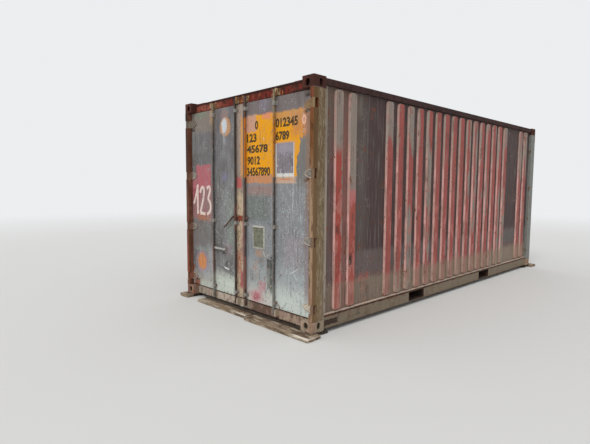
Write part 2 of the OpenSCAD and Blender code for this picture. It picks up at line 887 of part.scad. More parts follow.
// Hub on a bar with a tab to +Y and the pivot that a handle turns on
module handle_hub(z) {
    translate([0, 0, z]) {
        translate([0, 0, -hub_h / 2]) cylinder(r = hub_r, h = hub_h);
        translate([-tab_t / 2, 0, -handle_h / 2]) cube([tab_t, pivot_out, handle_h]);
        translate([-tab_t / 2, pivot_out, 0]) rotate([0, 90, 0])
            cylinder(r = handle_h / 2, h = tab_t);
    }
}

// Pivot pin with a flat head in front of the handle
module handle_pivot(z) {
    reach = tab_t / 2 + 2 * handle_gap + handle_t;
    translate([0, pivot_out, z]) rotate([0, -90, 0]) {
        cylinder(r = pivot_r, h = reach + pivot_head_t / 2);
        translate([0, 0, reach]) cylinder(r = pivot_head_r, h = pivot_head_t);
    }
}

// Hollow bar with its cams; tongue and handle point to opposite sides
module locking_bar(bar, hub_z, pivot) {
    low = cam_low_z - bar_end;
    high = cam_top_z + bar_end;
    color("#6c6c70") translate([bar_x, bar[0], 0]) mirror([0, bar[1] > 0 ? 0 : 1, 0]) {
        difference() {
            union() {
                translate([0, 0, low]) cylinder(r = bar_r, h = high - low);
                cam(cam_top_z);
                cam(cam_low_z);
                mirror([0, 1, 0]) handle_hub(hub_z);
            }
            translate([0, 0, low - 1]) cylinder(r = bar_r - bar_t, h = high - low + 2);
        }
        if (pivot) mirror([0, 1, 0]) handle_pivot(hub_z);
    }
}

module locking_bar_1() {
    locking_bar(BARS[0], base_z + handle_1_z, true);
}

module locking_bar_2() {
    locking_bar(BARS[1], base_z + handle_2_z, true);
}

module locking_bar_3() {
    locking_bar(BARS[2], base_z + handle_2_z, false);
}

module locking_bar_4() {
    locking_bar(BARS[3], base_z + handle_1_z, false);
}

// Flat handle from its pivot along +Y, with a round grip end
module handle() {
    x0 = -tab_t / 2 - handle_gap - handle_t;
    tip = handle_l - handle_tip_r;
    translate([x0, 0, 0]) rotate([90, 0, 90]) difference() {
        linear_extrude(handle_t) union() {
            circle(r = handle_h / 2);
            polygon([[0, -handle_h / 2], [tip, -handle_tip_r], [tip, handle_tip_r],
                [0, handle_h / 2]]);
            translate([tip, 0]) circle(r = handle_tip_r);
        }
        translate([0, 0, -1]) cylinder(r = pivot_r + pivot_play, h = handle_t + 2);
    }
}

module door_handle_1() {
    color("#c8c0b0") translate([bar_x, bar_1_y - pivot_out, base_z + handle_1_z])
        mirror([0, 1, 0]) handle();
}

module door_handle_2() {
    color("#4a4a4c") translate([bar_x, bar_2_y + pivot_out, base_z + handle_2_z])
        rotate([-handle_droop, 0, 0]) handle();
}

// Catch with a ledge on which handle 1 lies
module handle_catch() {
    y = bar_1_y - pivot_out - handle_l + catch_from_tip;
    near = handle_l - catch_from_tip - ledge_w / 2;
    slope = (handle_h / 2 - handle_tip_r) / (handle_l - handle_tip_r);
    seat_z = base_z + handle_1_z - handle_h / 2 + slope * near - seat_gap;
    plate_z = seat_z - catch_h / 2;
    color("#9a8c88") {
        span([skin_x - catch_t, y - catch_w / 2, plate_z],
            [skin_x, y + catch_w / 2, plate_z + catch_h]);
        span([skin_x - ledge_out, y - ledge_w / 2, seat_z - ledge_t],
            [skin_x - catch_t, y + ledge_w / 2, seat_z]);
    }
}

// Timbers under one end: a wide plank with one behind it, a narrower one, and a block
module timbers() {
    x = -end_x - timber_out;
    y = -side_y - timber_side;
    behind_x = x + timber_d;
    span([x, y, 0], [behind_x, plank_start, timber_t]);
    span([behind_x, -side_y, 0], [behind_x + rear_d, plank_start, timber_t]);
    translate([x + plank_back, 0, 0]) {
        span([0, plank_start, 0], [plank_d, plank_end, timber_t]);
        span([0, side_y + block_side - block_w, 0], [block_d, side_y + block_side, timber_t]);
    }
}

module door_end_timbers() {
    color("#a08a70") timbers();
}

module front_end_timbers() {
    color("#a08a70") mirror([1, 0, 0]) timbers();
}

bottom_castings();
top_castings();
left_door_post();
right_door_post();
left_front_post();
right_front_post();
door_header();
door_sill();
door_stops();
front_top_rail();
front_bottom_rail();
left_top_rail();
right_top_rail();
left_bottom_rail();
right_bottom_rail();
roof_panel();
roof_end_plates();
left_side_wall();
right_side_wall();
front_wall();
floor_boards();
cross_members();
fork_pockets();
header_keepers();
sill_keepers();
hinge_pins();
door_end_timbers();
front_end_timbers();
left_door_frame();
left_door_panel();
left_door_seal();
left_door_hinges();
left_bar_guides();
handle_catch();
right_door_frame();
right_door_panel();
right_door_seal();
right_door_hinges();
right_bar_guides();
locking_bar_1();
locking_bar_2();
locking_bar_3();
locking_bar_4();
door_handle_1();
door_handle_2();
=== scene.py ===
import math
from functools import partial

import bpy
from bpy.props import FloatProperty, FloatVectorProperty, IntProperty, PointerProperty, StringProperty
from mathutils import Euler, Matrix, Vector


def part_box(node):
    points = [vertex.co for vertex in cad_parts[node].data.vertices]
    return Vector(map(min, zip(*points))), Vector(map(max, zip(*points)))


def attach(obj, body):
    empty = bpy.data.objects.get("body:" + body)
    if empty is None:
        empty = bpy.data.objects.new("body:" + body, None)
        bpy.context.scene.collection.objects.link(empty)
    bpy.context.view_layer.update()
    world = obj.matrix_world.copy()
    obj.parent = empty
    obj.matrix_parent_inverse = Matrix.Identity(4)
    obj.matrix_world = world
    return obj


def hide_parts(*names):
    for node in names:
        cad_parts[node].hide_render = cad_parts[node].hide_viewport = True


bl_info = {
    "name": "Weathered Freight Container",
    "version": (1, 0, 0),
    "blender": (4, 5, 0),
    "location": "3D View > Sidebar > Container",
    "description": "Paint, rust, fixings, boards and numerals for a steel container with end doors",
    "category": "Object",
}

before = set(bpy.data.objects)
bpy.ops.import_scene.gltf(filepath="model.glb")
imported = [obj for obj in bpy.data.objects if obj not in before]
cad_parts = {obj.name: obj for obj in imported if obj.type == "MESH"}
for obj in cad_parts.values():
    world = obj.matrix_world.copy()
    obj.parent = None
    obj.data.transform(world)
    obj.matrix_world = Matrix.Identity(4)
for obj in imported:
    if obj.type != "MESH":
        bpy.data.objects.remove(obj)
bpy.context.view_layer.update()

# Places that the pieces are set by, in metres: +X is the blind end, -X the door end, +Z is up.
SKIN_X = -2.963  # outer face of the door panels
FOOT_X = -2.968  # outer face of the bar guides' feet
BLADE_X = -2.973  # outer face of the hinge blades
BAR_Y = (0.610, 0.130, -0.062, -0.580)
GUIDE_Z = (0.235, 1.090, 2.433)
HINGE_Z = (0.287, 0.978, 1.670, 2.361)
POST_ENDS = (0.1585, 2.5125)
TIMBER = 0.04  # height of the timbers, which the box stands on
FAR = 9  # a patch that reaches this far has no edge on that side


def linear(code):
    """Turns an sRGB hex colour into the linear values that a shader takes."""
    parts = [int(code[i:i + 2], 16) / 255 for i in (0, 2, 4)]
    return tuple(p / 12.92 if p <= 0.04045 else ((p + 0.055) / 1.055) ** 2.4 for p in parts)


def add(tree, kind, inputs=None, **settings):
    """Adds one shader node with its settings. An input is a value, a hex colour or a node to link."""
    node = tree.nodes.new("ShaderNode" + kind)
    for name, value in settings.items():
        setattr(node, name, value)
    for key, value in (inputs or {}).items():
        socket = node.inputs[key] if isinstance(key, int) else next(
            s for s in node.inputs if s.enabled and s.name == key)
        if isinstance(value, bpy.types.Node):
            value = next(s for s in value.outputs if s.enabled)
        if isinstance(value, bpy.types.NodeSocket):
            tree.links.new(value, socket)
        elif socket.type == "RGBA":
            socket.default_value = (*(linear(value) if isinstance(value, str) else value), 1)
        else:
            socket.default_value = value
    return node


def surface(name):
    """Starts a material. Gives it, its node tree, the place on the object in metres and its clouds."""
    material = bpy.data.materials.new(name)
    material.use_nodes = True
    tree = material.node_tree
    tree.nodes.clear()
    place = add(tree, "TexCoord").outputs["Object"]
    return material, tree, place, partial(mottle, tree, place)


def mottle(tree, place, size, low, high, stretch=(1, 1, 1), seed=0.0, top=1.0, detail=3.0):
    """A cloudy mask from 0 to top: clouds of about size metres, drawn out along the stretched axes."""
    spot = add(tree, "Mapping", {
        "Vector": place, "Location": (seed, 1.7 * seed, -seed), "Scale": [1 / (size * s) for s in stretch]})
    cloud = add(tree, "TexNoise", {"Vector": spot, "Scale": 1.0, "Detail": detail, "Roughness": 0.6})
    return add(tree, "MapRange", {"Value": cloud, "From Min": low, "From Max": high, "To Max": top},
               interpolation_type="SMOOTHSTEP")


def torn(tree, place, reach):
    """Shifts a place by a cloud of its own reach, so that the straight edge of a patch turns ragged."""
    cloud = add(tree, "TexNoise", {"Vector": place, "Scale": 1 / reach, "Detail": 4.0, "Roughness": 0.65})
    step = add(tree, "VectorMath", {0: cloud.outputs["Color"], 1: (0.5, 0.5, 0.5)}, operation="SUBTRACT")
    return add(tree, "VectorMath", {0: step, 1: (reach,) * 3, 2: place}, operation="MULTIPLY_ADD")


def at(colour, across, low, beyond, high, edge=0.012, top=1.0, **more):
    """One patch of a finish: its colour, its box, how far its edge fades, how much it covers, and options.
    spots breaks it up into spots of that size, drawn says how much longer than wide they are, ragged
    and worn say whether its edge is torn and the old paint shows through, look is where its faces look."""
    return colour, (across, low, beyond, high), {"edge": edge, "top": top, **more}


def patch(tree, place, box, axis=1, edge=0.012, top=1.0, turn=0.0, oval=False):
    """A mask that is top inside a box, or inside the oval that fills it, and fades over its edge.
    The box is lowest across, lowest height, highest across, highest height; across is x or y by axis."""
    centre, half = [0, 0, (box[1] + box[3]) / 2], [1000, 1000, (box[3] - box[1]) / 2]
    centre[axis], half[axis] = (box[0] + box[2]) / 2, (box[2] - box[0]) / 2
    near = add(tree, "Mapping", {
        "Vector": place, "Location": centre, "Scale": half,
        "Rotation": (turn if axis else 0, 0 if axis else turn, 0)}, vector_type="TEXTURE")
    if oval:
        reach = add(tree, "VectorMath", {0: near}, operation="LENGTH").outputs["Value"]
    else:
        size = add(tree, "SeparateXYZ", {0: add(tree, "VectorMath", {0: near}, operation="ABSOLUTE")})
        reach = add(tree, "Math", {0: size.outputs[axis], 1: size.outputs[2]}, operation="MAXIMUM")
    soft = edge / min(half[axis], half[2])
    return add(tree, "MapRange", {"Value": reach, "From Min": 1 + soft / 2, "From Max": 1 - soft / 2,
                                  "To Max": top}, interpolation_type="SMOOTHSTEP")


def coats(tree, colour, layers):
    """Lays colours over the first one, each where all of its masks are."""
    for cover, *masks in layers:
        mask = masks[0]
        for other in masks[1:]:
            mask = add(tree, "Math", {0: mask, 1: other}, operation="MULTIPLY")
        colour = add(tree, "Mix", {"Factor": mask, "A": colour, "B": cover}, data_type="RGBA")
    return colour


def outward(tree, place, axis):
    """A mask of the faces that look away from the middle of the container along an axis."""
    normal = add(tree, "TexCoord").outputs["Normal"]
    away = add(tree, "SeparateXYZ", {0: add(tree, "VectorMath", {0: normal, 1: place}, operation="MULTIPLY")})
    return add(tree, "MapRange", {"Value": away.outputs[axis], "From Min": 0.05, "From Max": 0.1})


def facing(tree, direction, low, high):
    """A mask of the faces that look in a direction, from none to all of it between two cosines."""
    normal = add(tree, "TexCoord").outputs["Normal"]
    turn = add(tree, "VectorMath", {0: normal, 1: Vector(direction).normalized()}, operation="DOT_PRODUCT")
    return add(tree, "MapRange", {"Value": turn.outputs["Value"], "From Min": low, "From Max": high})


def worn_edges(tree, width, top=1.0):
    """A mask of the sharp edges, where paint wears off and rust starts."""
    rounded = add(tree, "Bevel", {"Radius": width}, samples=6)
    flat = add(tree, "NewGeometry").outputs["Normal"]
    turn = add(tree, "VectorMath", {0: rounded, 1: flat}, operation="DOT_PRODUCT").outputs["Value"]
    return add(tree, "MapRange", {"Value": turn, "From Min": 0.97, "From Max": 0.85, "To Max": top})


def close(tree, base, layers, rough, reliefs, metallic=0.0):
    """Ends a material: coats, roughness, and relief as masks with their heights in millimetres."""
    colour, height = coats(tree, base, layers), None
    for mask, mm in reliefs:
        height = add(tree, "Math", {0: mask, 1: mm, 2: height if height else 0.0}, operation="MULTIPLY_ADD")
    bump = add(tree, "Bump", {"Strength": 1.0, "Distance": 0.001, "Height": height})
    shader = add(tree, "BsdfPrincipled", {
        "Base Color": colour, "Roughness": rough, "Metallic": metallic, "Normal": bump,
        "Specular IOR Level": 0.2})
    add(tree, "OutputMaterial", {"Surface": shader})


def door_paint(name, base, patches):
    """Alkyd enamel on steel sheet, chalked by sun: dull grey, streaked by rain, chipped to primer and rust.
    Patches are laid by the distance right of the doorway's middle and the height above the timbers."""
    look = bpy.context.scene.container_look
    named = {"YELLOW": look.yellow, "PRIMER": look.primer}
    material, tree, place = surface(name)[:3]
    door = add(tree, "Mapping", {"Vector": place, "Location": (0, 0, -TIMBER), "Scale": (1, -1, 1)})
    cloud = partial(mottle, tree, door)
    ragged = torn(tree, door, 0.07)
    fade = cloud(0.22, 0.38, 0.68, (1, 1, 1.8), 3.1, 0.6)
    run = cloud(0.022, 0.46, 0.72, (1, 1, 22), 5.3, 0.55)
    pale_run = cloud(0.014, 0.54, 0.76, (1, 1, 26), 8.8, 0.28)
    chips = cloud(0.011, 0.61, 0.66, (1, 1, 1.5), 1.9, 0.85)
    specks = cloud(0.019, 0.63, 0.68, (1, 1, 1.6), 6.4, 0.9)
    where = cloud(0.16, 0.5, 0.62, (1, 1, 1.5), 2.6)
    sound = cloud(0.03, 0.70, 0.62, (1, 1, 2), 4.4)
    layers = [("8f9293", fade), ("615c59", run)]
    for count, (colour, box, options) in enumerate(patches):
        options = dict(options)
        masks = [sound] if options.pop("worn", True) else []
        size, drawn = options.pop("spots", 0), options.pop("drawn", 1.7)
        if size:
            masks = [cloud(size, 0.58, 0.62, (1, 1, drawn), 1.3 * count),
                     cloud(5 * size, 0.44, 0.54, (1, 1, 1.5), 2.7 * count)]
        masks.append(patch(tree, ragged if options.pop("ragged", True) else door, box, **options))
        layers.append((named.get(colour, colour), *masks))
    layers += [("a9adac", pale_run), ("54504c", run, where), ("c9cdc8", chips, where),
               (look.rust, specks, cloud(0.2, 0.48, 0.6, seed=7.7)),
               ("8a6a50", worn_edges(tree, 0.006, 0.8), cloud(0.05, 0.4, 0.6, seed=9.2))]
    outside = coats(tree, base, layers)
    height = add(tree, "SeparateXYZ", {0: door}).outputs[2]
    dirt = add(tree, "MapRange", {"Value": height, "From Min": 0.6, "From Max": 0.1, "To Max": 0.7})
    inside = coats(tree, "9a9c96", [
        ("7d7a72", run), ("b4b5ae", fade), ("6d4a36", dirt, cloud(0.05, 0.45, 0.6, seed=1.2)),
        (look.rust, specks, where)])
    dents = cloud(0.35, 0.3, 0.7, (1, 1, 1.4), 12.3, detail=1.0)
    close(tree, inside, [(outside, outward(tree, place, 0))], 0.62,
          [(dents, 5.0), (fade, 0.3), (chips, -0.25), (specks, 0.5), (run, 0.15)])
    return material


def rusted(name, deep, mid, bright, seed, pale=None, share=0.5, rough=0.82, relief=0.6, drawn=1.0, extra=()):
    """Bare steel that rusted in the open: crusted brown with orange bloom, and paint left in places.
    Crust of 16 mm and pits of 7 mm are drawn coarser than real ones, so that they show."""
    material, tree, place, cloud = surface(name)
    bloom = cloud(0.09 / drawn, 0.42, 0.62, (1, 1, 1.6 * drawn * drawn), seed)
    fine = cloud(0.016, 0.40, 0.66, (1, 1, 1.3 * drawn * drawn), seed + 3)
    pits = cloud(0.007, 0.50, 0.72, seed=seed + 5)
    layers = [(mid, bloom), (bright, fine, cloud(0.12, 0.46, 0.64, seed=seed + 8))]
    if pale:
        left = cloud(0.06, 0.62 - 0.3 * share, 0.66 - 0.3 * share, (1, 1, 2), seed + 11)
        layers.append((pale, left, cloud(0.012, 0.3, 0.4, seed=seed + 1)))
    layers.append(("2c211d", pits, cloud(0.05, 0.45, 0.6, seed=seed + 2)))
    ragged = torn(tree, place, 0.04) if extra else place
    for count, (colour, box, options) in enumerate(extra):
        options = dict(options)
        size, long, look = options.pop("spots", 0), options.pop("drawn", 1.7), options.pop("look", None)
        masks = [cloud(size, 0.52, 0.6, (1, 1, long), seed + 1.3 * count)] if size else []
        if look:
            masks.append(facing(tree, look, 0.5, 0.9))
        layers.append((colour, *masks, patch(tree, ragged, box, **options)))
    layers.append((bright, worn_edges(tree, 0.004, 0.5)))
    close(tree, deep, layers, rough, [(fine, relief), (pits, -relief), (bloom, relief)])
    return material


def mode(name):
    """Goes to edit or object mode."""
    bpy.ops.object.mode_set(mode=name)


def clear():
    """Deselects everything, because the loaded model's nodes stay selected."""
    bpy.ops.object.select_all(action="DESELECT")


def eased_block(low, high, ease, steps=2):
    """Models a block between two corners with rounded edges."""
    clear()
    low, high = Vector(low), Vector(high)
    bpy.ops.mesh.primitive_cube_add(size=1, location=(low + high) / 2)
    block = bpy.context.object
    block.scale = high - low
    bpy.ops.object.transform_apply(location=False, rotation=False, scale=True)
    mode("EDIT")
    bpy.ops.mesh.select_all(action="SELECT")
    bpy.ops.mesh.bevel(offset=ease, segments=steps, affect="EDGES")
    mode("OBJECT")
    return block


def rivet(x, y, z, radius):
    """Models a flat round head that looks along X."""
    clear()
    bpy.ops.mesh.primitive_uv_sphere_add(segments=12, ring_count=8, radius=radius, location=(x, y, z))
    head = bpy.context.object
    head.scale = (0.5, 1, 1)
    return head


def facing_faces(piece, direction):
    """Selects only the faces of a piece that look in a direction, in edit mode."""
    mode("EDIT")
    bpy.ops.mesh.select_mode(type="FACE")
    bpy.ops.mesh.select_all(action="DESELECT")
    mode("OBJECT")
    for face in piece.data.polygons:
        face.select = face.normal.dot(Vector(direction)) > 0.9
    mode("EDIT")


def join(pieces, name):
    """Joins pieces into one with its place in its mesh."""
    clear()
    for piece in pieces:
        piece.select_set(True)
    bpy.context.view_layer.objects.active = pieces[0]
    if len(pieces) > 1:
        bpy.ops.object.join()
    bpy.ops.object.transform_apply(location=True, rotation=True, scale=True)
    piece = bpy.context.object
    piece.name = name
    return piece


def copies(piece, places):
    """Copies a piece to each place, with a mesh of its own, and gives the copies instead of it."""
    made = []
    for place in places:
        twin = piece.copy()
        twin.data = piece.data.copy()
        twin.location = piece.location + Vector(place)
        bpy.context.collection.objects.link(twin)
        made.append(twin)
    bpy.data.objects.remove(piece)
    return made


def cord(points, thick):
    """Models a round cord that runs smoothly along points, each with a share of the thickness."""
    clear()
    bpy.ops.curve.primitive_nurbs_path_add()
    path = bpy.context.object
    path.data.splines.clear()
    spline = path.data.splines.new("NURBS")
    spline.points.add(len(points) - 1)
    for point, (x, y, z, share) in zip(spline.points, points):
        point.co, point.radius = (x, y, z, 1), share
    spline.use_endpoint_u, spline.order_u = True, 3
    path.data.dimensions, path.data.resolution_u = "3D", 6
    path.data.bevel_depth, path.data.bevel_resolution, path.data.use_fill_caps = thick, 2, True
    bpy.ops.object.convert(target="MESH")
    return bpy.context.object


def finish(piece, body, material, smooth=35):
    """Turns the faces outwards, smooths the round ones and lets the piece ride on its body."""
    clear()
    piece.select_set(True)
    bpy.context.view_layer.objects.active = piece
    mode("EDIT")
    bpy.ops.mesh.select_all(action="SELECT")
    bpy.ops.mesh.normals_make_consistent(inside=False)
    mode("OBJECT")
    bpy.ops.object.shade_smooth_by_angle(angle=math.radians(smooth))
    piece.data.materials.clear()
    piece.data.materials.append(material)
    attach(piece, body)


def paint(material, *nodes):
    """Gives CAD nodes a material in place of their plain ones."""
    for name in nodes:
        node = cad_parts[name]
        node.data.materials.clear()
        node.data.materials.append(material)


def colour_setting(name, description, code):
    """A colour that a user can change, from its sRGB hex value."""
    return FloatVectorProperty(
        name=name, description=description, subtype="COLOR", size=3, min=0, max=1, default=linear(code))


def length_setting(name, description, low, high, usual):
    """A length in metres that a user can change."""
    return FloatProperty(
        name=name, description=description, subtype="DISTANCE", unit="LENGTH", min=low, max=high,
        default=usual)


class ContainerLook(bpy.types.PropertyGroup):
    """Colours of the container that a user would change."""
    grey: colour_setting("Door grey", "Chalked grey paint of the right door", "7b7878")
    yellow: colour_setting("Field yellow", "Yellow field on the right door", "eca111")
    primer: colour_setting("Red primer", "Red field on the left door", "b3666c")
    rust: colour_setting("Rust", "Rust that comes through the paint", "75452e")


class ContainerSizes(bpy.types.PropertyGroup):
    """Sizes of the added pieces that a user would change."""
    washer: length_setting("Washer radius", "Radius of the washers under the bolts", 0.006, 0.02, 0.0115)
    head: length_setting("Bolt head radius", "Radius over the corners of a bolt head", 0.004, 0.014, 0.0085)
    board_gap: length_setting("Floor gap", "Gap between two floor sheets", 0.001, 0.01, 0.004)
    numerals: StringProperty(
        name="Numerals", description="Plain digits that fill the rows on the right door",
        default="0123456789")
    scatter: IntProperty(
        name="Scatter", description="Seed of the unevenness of the boards", min=0, default=3)


class ContainerStage(bpy.types.PropertyGroup):
    """Light and camera of the picture."""
    sky: FloatProperty(
        name="Sky light", description="Strength of the even light from all round", min=0, max=2, default=0.78)
    sun: FloatProperty(
        name="Sun light", description="Strength of the soft lamp", min=0, max=4, default=1.2)
    lens: FloatProperty(
        name="Lens", description="Focal length in millimetres on a 36 mm sensor", min=10, max=100,
        default=27.23)


LEFT_PATCHES = [
    # Shaded head of the door, and older paint in it.
    at("887d72", -1.16, 2.2, -0.6, 2.5, 0.08, 0.85),
    at("7c8674", -1.1, 2.38, -0.78, 2.48, 0.06, 0.6, oval=True),
    at("6b6968", -1.16, 1.76, -0.64, 1.92, 0.06, 0.8),
    at("b89478", -0.71, 2.28, -0.63, 2.48, 0.02, 0.75),
    at("a08078", -0.47, 2.28, -0.31, 2.44, 0.05, 0.5, oval=True),
    # A touch-up near the top: orange primer under bright grey.
    at("c8966a", -0.48, 2.11, -0.25, 2.34, 0.03, oval=True),
    at("ccd1d5", -0.45, 2.15, -0.33, 2.33, 0.025, oval=True, worn=False),
    at("a4a6a8", -0.42, 2.02, -0.37, 2.15, 0.03, 0.6),
    # The red field, with a faded rim.
    at("808094", -0.46, 1.54, -0.33, 1.67, 0.05, 0.7, oval=True),
    at("9b6d6c", -1.2, 1.05, -0.68, 1.5, 0.06, 0.85),
    at("8d7a80", -0.9, 1.08, -0.7, 1.3, top=0.6, spots=0.05),
    at("a54e56", -1.2, 1.3, -0.98, 1.56, 0.06, 0.9),
    at("PRIMER", -1.16, 1.46, -0.7, 1.64, 0.02),
    at("PRIMER", -1.07, 1.5, -0.7, 1.77, 0.02, worn=False),
    # Shade under the top hinge, then stains and a touch-up under the field.
    at("38302a", -1.17, 2.225, -1.07, 2.262, 0.02, 0.85, worn=False),
    at("a87058", -1.02, 1.03, -0.74, 1.14, 0.04, 0.9),
    at("857a7c", -1.15, 0.62, -0.95, 1.0, 0.05, 0.6),
    at("6d665f", -1.15, 0.7, -0.64, 1.02, 0.08, 0.5),
    at("8a9a8a", -1.1, 0.62, -0.8, 0.66, 0.03, 0.6),
    at("a08a94", -1.08, 0.31, -0.77, 0.63, 0.05, 0.8, oval=True),
    at("d08850", -1.03, 0.36, -0.83, 0.59, 0.03, oval=True, worn=False),
    at("98a0a8", -0.9, 0.2, -0.72, 0.38, 0.07, 0.8, oval=True),
    at("8a9288", -0.34, 0.68, -0.2, 1.35, 0.06, 0.7),
    at("8e7e84", -0.42, 0.64, -0.26, 0.77, 0.05, 0.8),
    at("a3a1a1", -0.79, 0.25, -0.6, 0.7, 0.08, 0.8),
    # The foot, splashed pale.
    at("ced5c9", -0.66, -0.6, -0.17, 0.37, 0.12, 0.95),
    at("b0aca2", -1.18, -0.6, -0.6, 0.3, 0.15, 0.8),
    at("82452f", -1.12, 0.08, -0.98, 0.215, 0.05, 0.95),
    at("3a2820", -1.16, 0.205, -0.99, 0.222, 0.012, 0.9, worn=False),
    at("bcc2b4", -0.97, 0.05, -0.68, 0.22, 0.06, 0.8),
    # Rubs and scrapes by the handles, then painted shadow of handle 1 and its catch.
    at("4c4a47", -0.385, 0.475, -0.33, 0.54, 0.02, oval=True, ragged=False, worn=False),
    at("55534f", -0.5, 0.425, -0.2, 0.442, 0.015, turn=-0.16, ragged=False, worn=False),
    at("6a6965", -0.44, 0.39, -0.18, 0.415, 0.02, 0.8, turn=-0.2, ragged=False, worn=False),
    at("dde0dc", -0.4, 0.44, -0.31, 0.462, 0.01, turn=-0.15, ragged=False, worn=False),
    # Painted shadow under handle 1, under its catch, and above it.
    at("5c5855", -0.6, 0.648, -0.36, 0.664, 0.015, 0.8, ragged=False, worn=False),
    at("4f4b49", -0.46, 0.625, -0.37, 0.665, 0.02, oval=True, ragged=False, worn=False),
    at("5c5855", -0.58, 0.73, -0.42, 0.745, 0.015, 0.6, ragged=False, worn=False),
    # The strip along the meeting edge, worn through many coats.
    at("c2ac90", -0.155, 0.1, 0.03, 1.46, 0.03, 0.95),
    at("ccb494", -0.155, 0.1, 0.03, 1.46, spots=0.05),
    at("7f7c5c", -0.155, 0.1, 0.03, 1.3, top=0.8, spots=0.04),
    at("a3604a", -0.155, 0.1, -0.02, 1.46, top=0.9, spots=0.035),
    at("5a463a", -0.155, 0.1, 0.0, 1.5, top=0.9, spots=0.02),
    at("ae9889", -0.155, 1.6, 0.03, 2.5, 0.04, 0.85),
    at("6d5f4a", -0.155, 1.6, -0.05, 2.5, top=0.7, spots=0.03),
    at("a05a48", -0.15, 0.42, -0.05, 0.72, 0.06, 0.7),
    at("c0645f", -0.145, 1.47, -0.04, 1.6, 0.02),
    at("7d4a38", -0.2, 1.06, -0.055, 1.13, 0.012),
    at("3d3029", -0.155, 0.1, 0.03, 1.2, top=0.9, spots=0.016),
    at("e2cdb0", -0.155, 0.1, 0.03, 1.46, top=0.8, spots=0.022),
    # Fine spots and streaks.
    at("6d5a4a", -1.15, 0.1, -0.17, 0.2, top=0.85, spots=0.03),
    at("96979a", -1.12, 0.4, -0.2, 2.3, 0.1, 0.6, spots=0.011, drawn=16),
    at("4f4b4a", -1.12, 0.4, -0.2, 2.3, 0.1, 0.5, spots=0.01, drawn=18),
    at("c8ccc6", -0.6, 0.3, -0.2, 1.5, 0.1, 0.8, spots=0.011),
    at("5b5a58", -1.15, 0.2, -0.2, 0.9, 0.1, 0.6, spots=0.016),
    at("b0a8a0", -1.15, 0.12, -0.62, 0.3, 0.05, 0.8, spots=0.05),
    at("8a5a44", -1.0, 1.0, -0.7, 1.12, 0.04, 0.8, spots=0.02),
    # Bare places at the edges.
    at("b86a68", -0.03, 0.6, 0.0, 1.1, 0.015, 0.8),
    at("a85a5a", -0.06, 0.25, 0.0, 0.46, 0.02),
    at("d69a58", -0.055, 1.6, 0.03, 2.3, 0.015, 0.95),
    at("8a4428", -1.17, 0.3, -1.135, 0.4, 0.01),
]

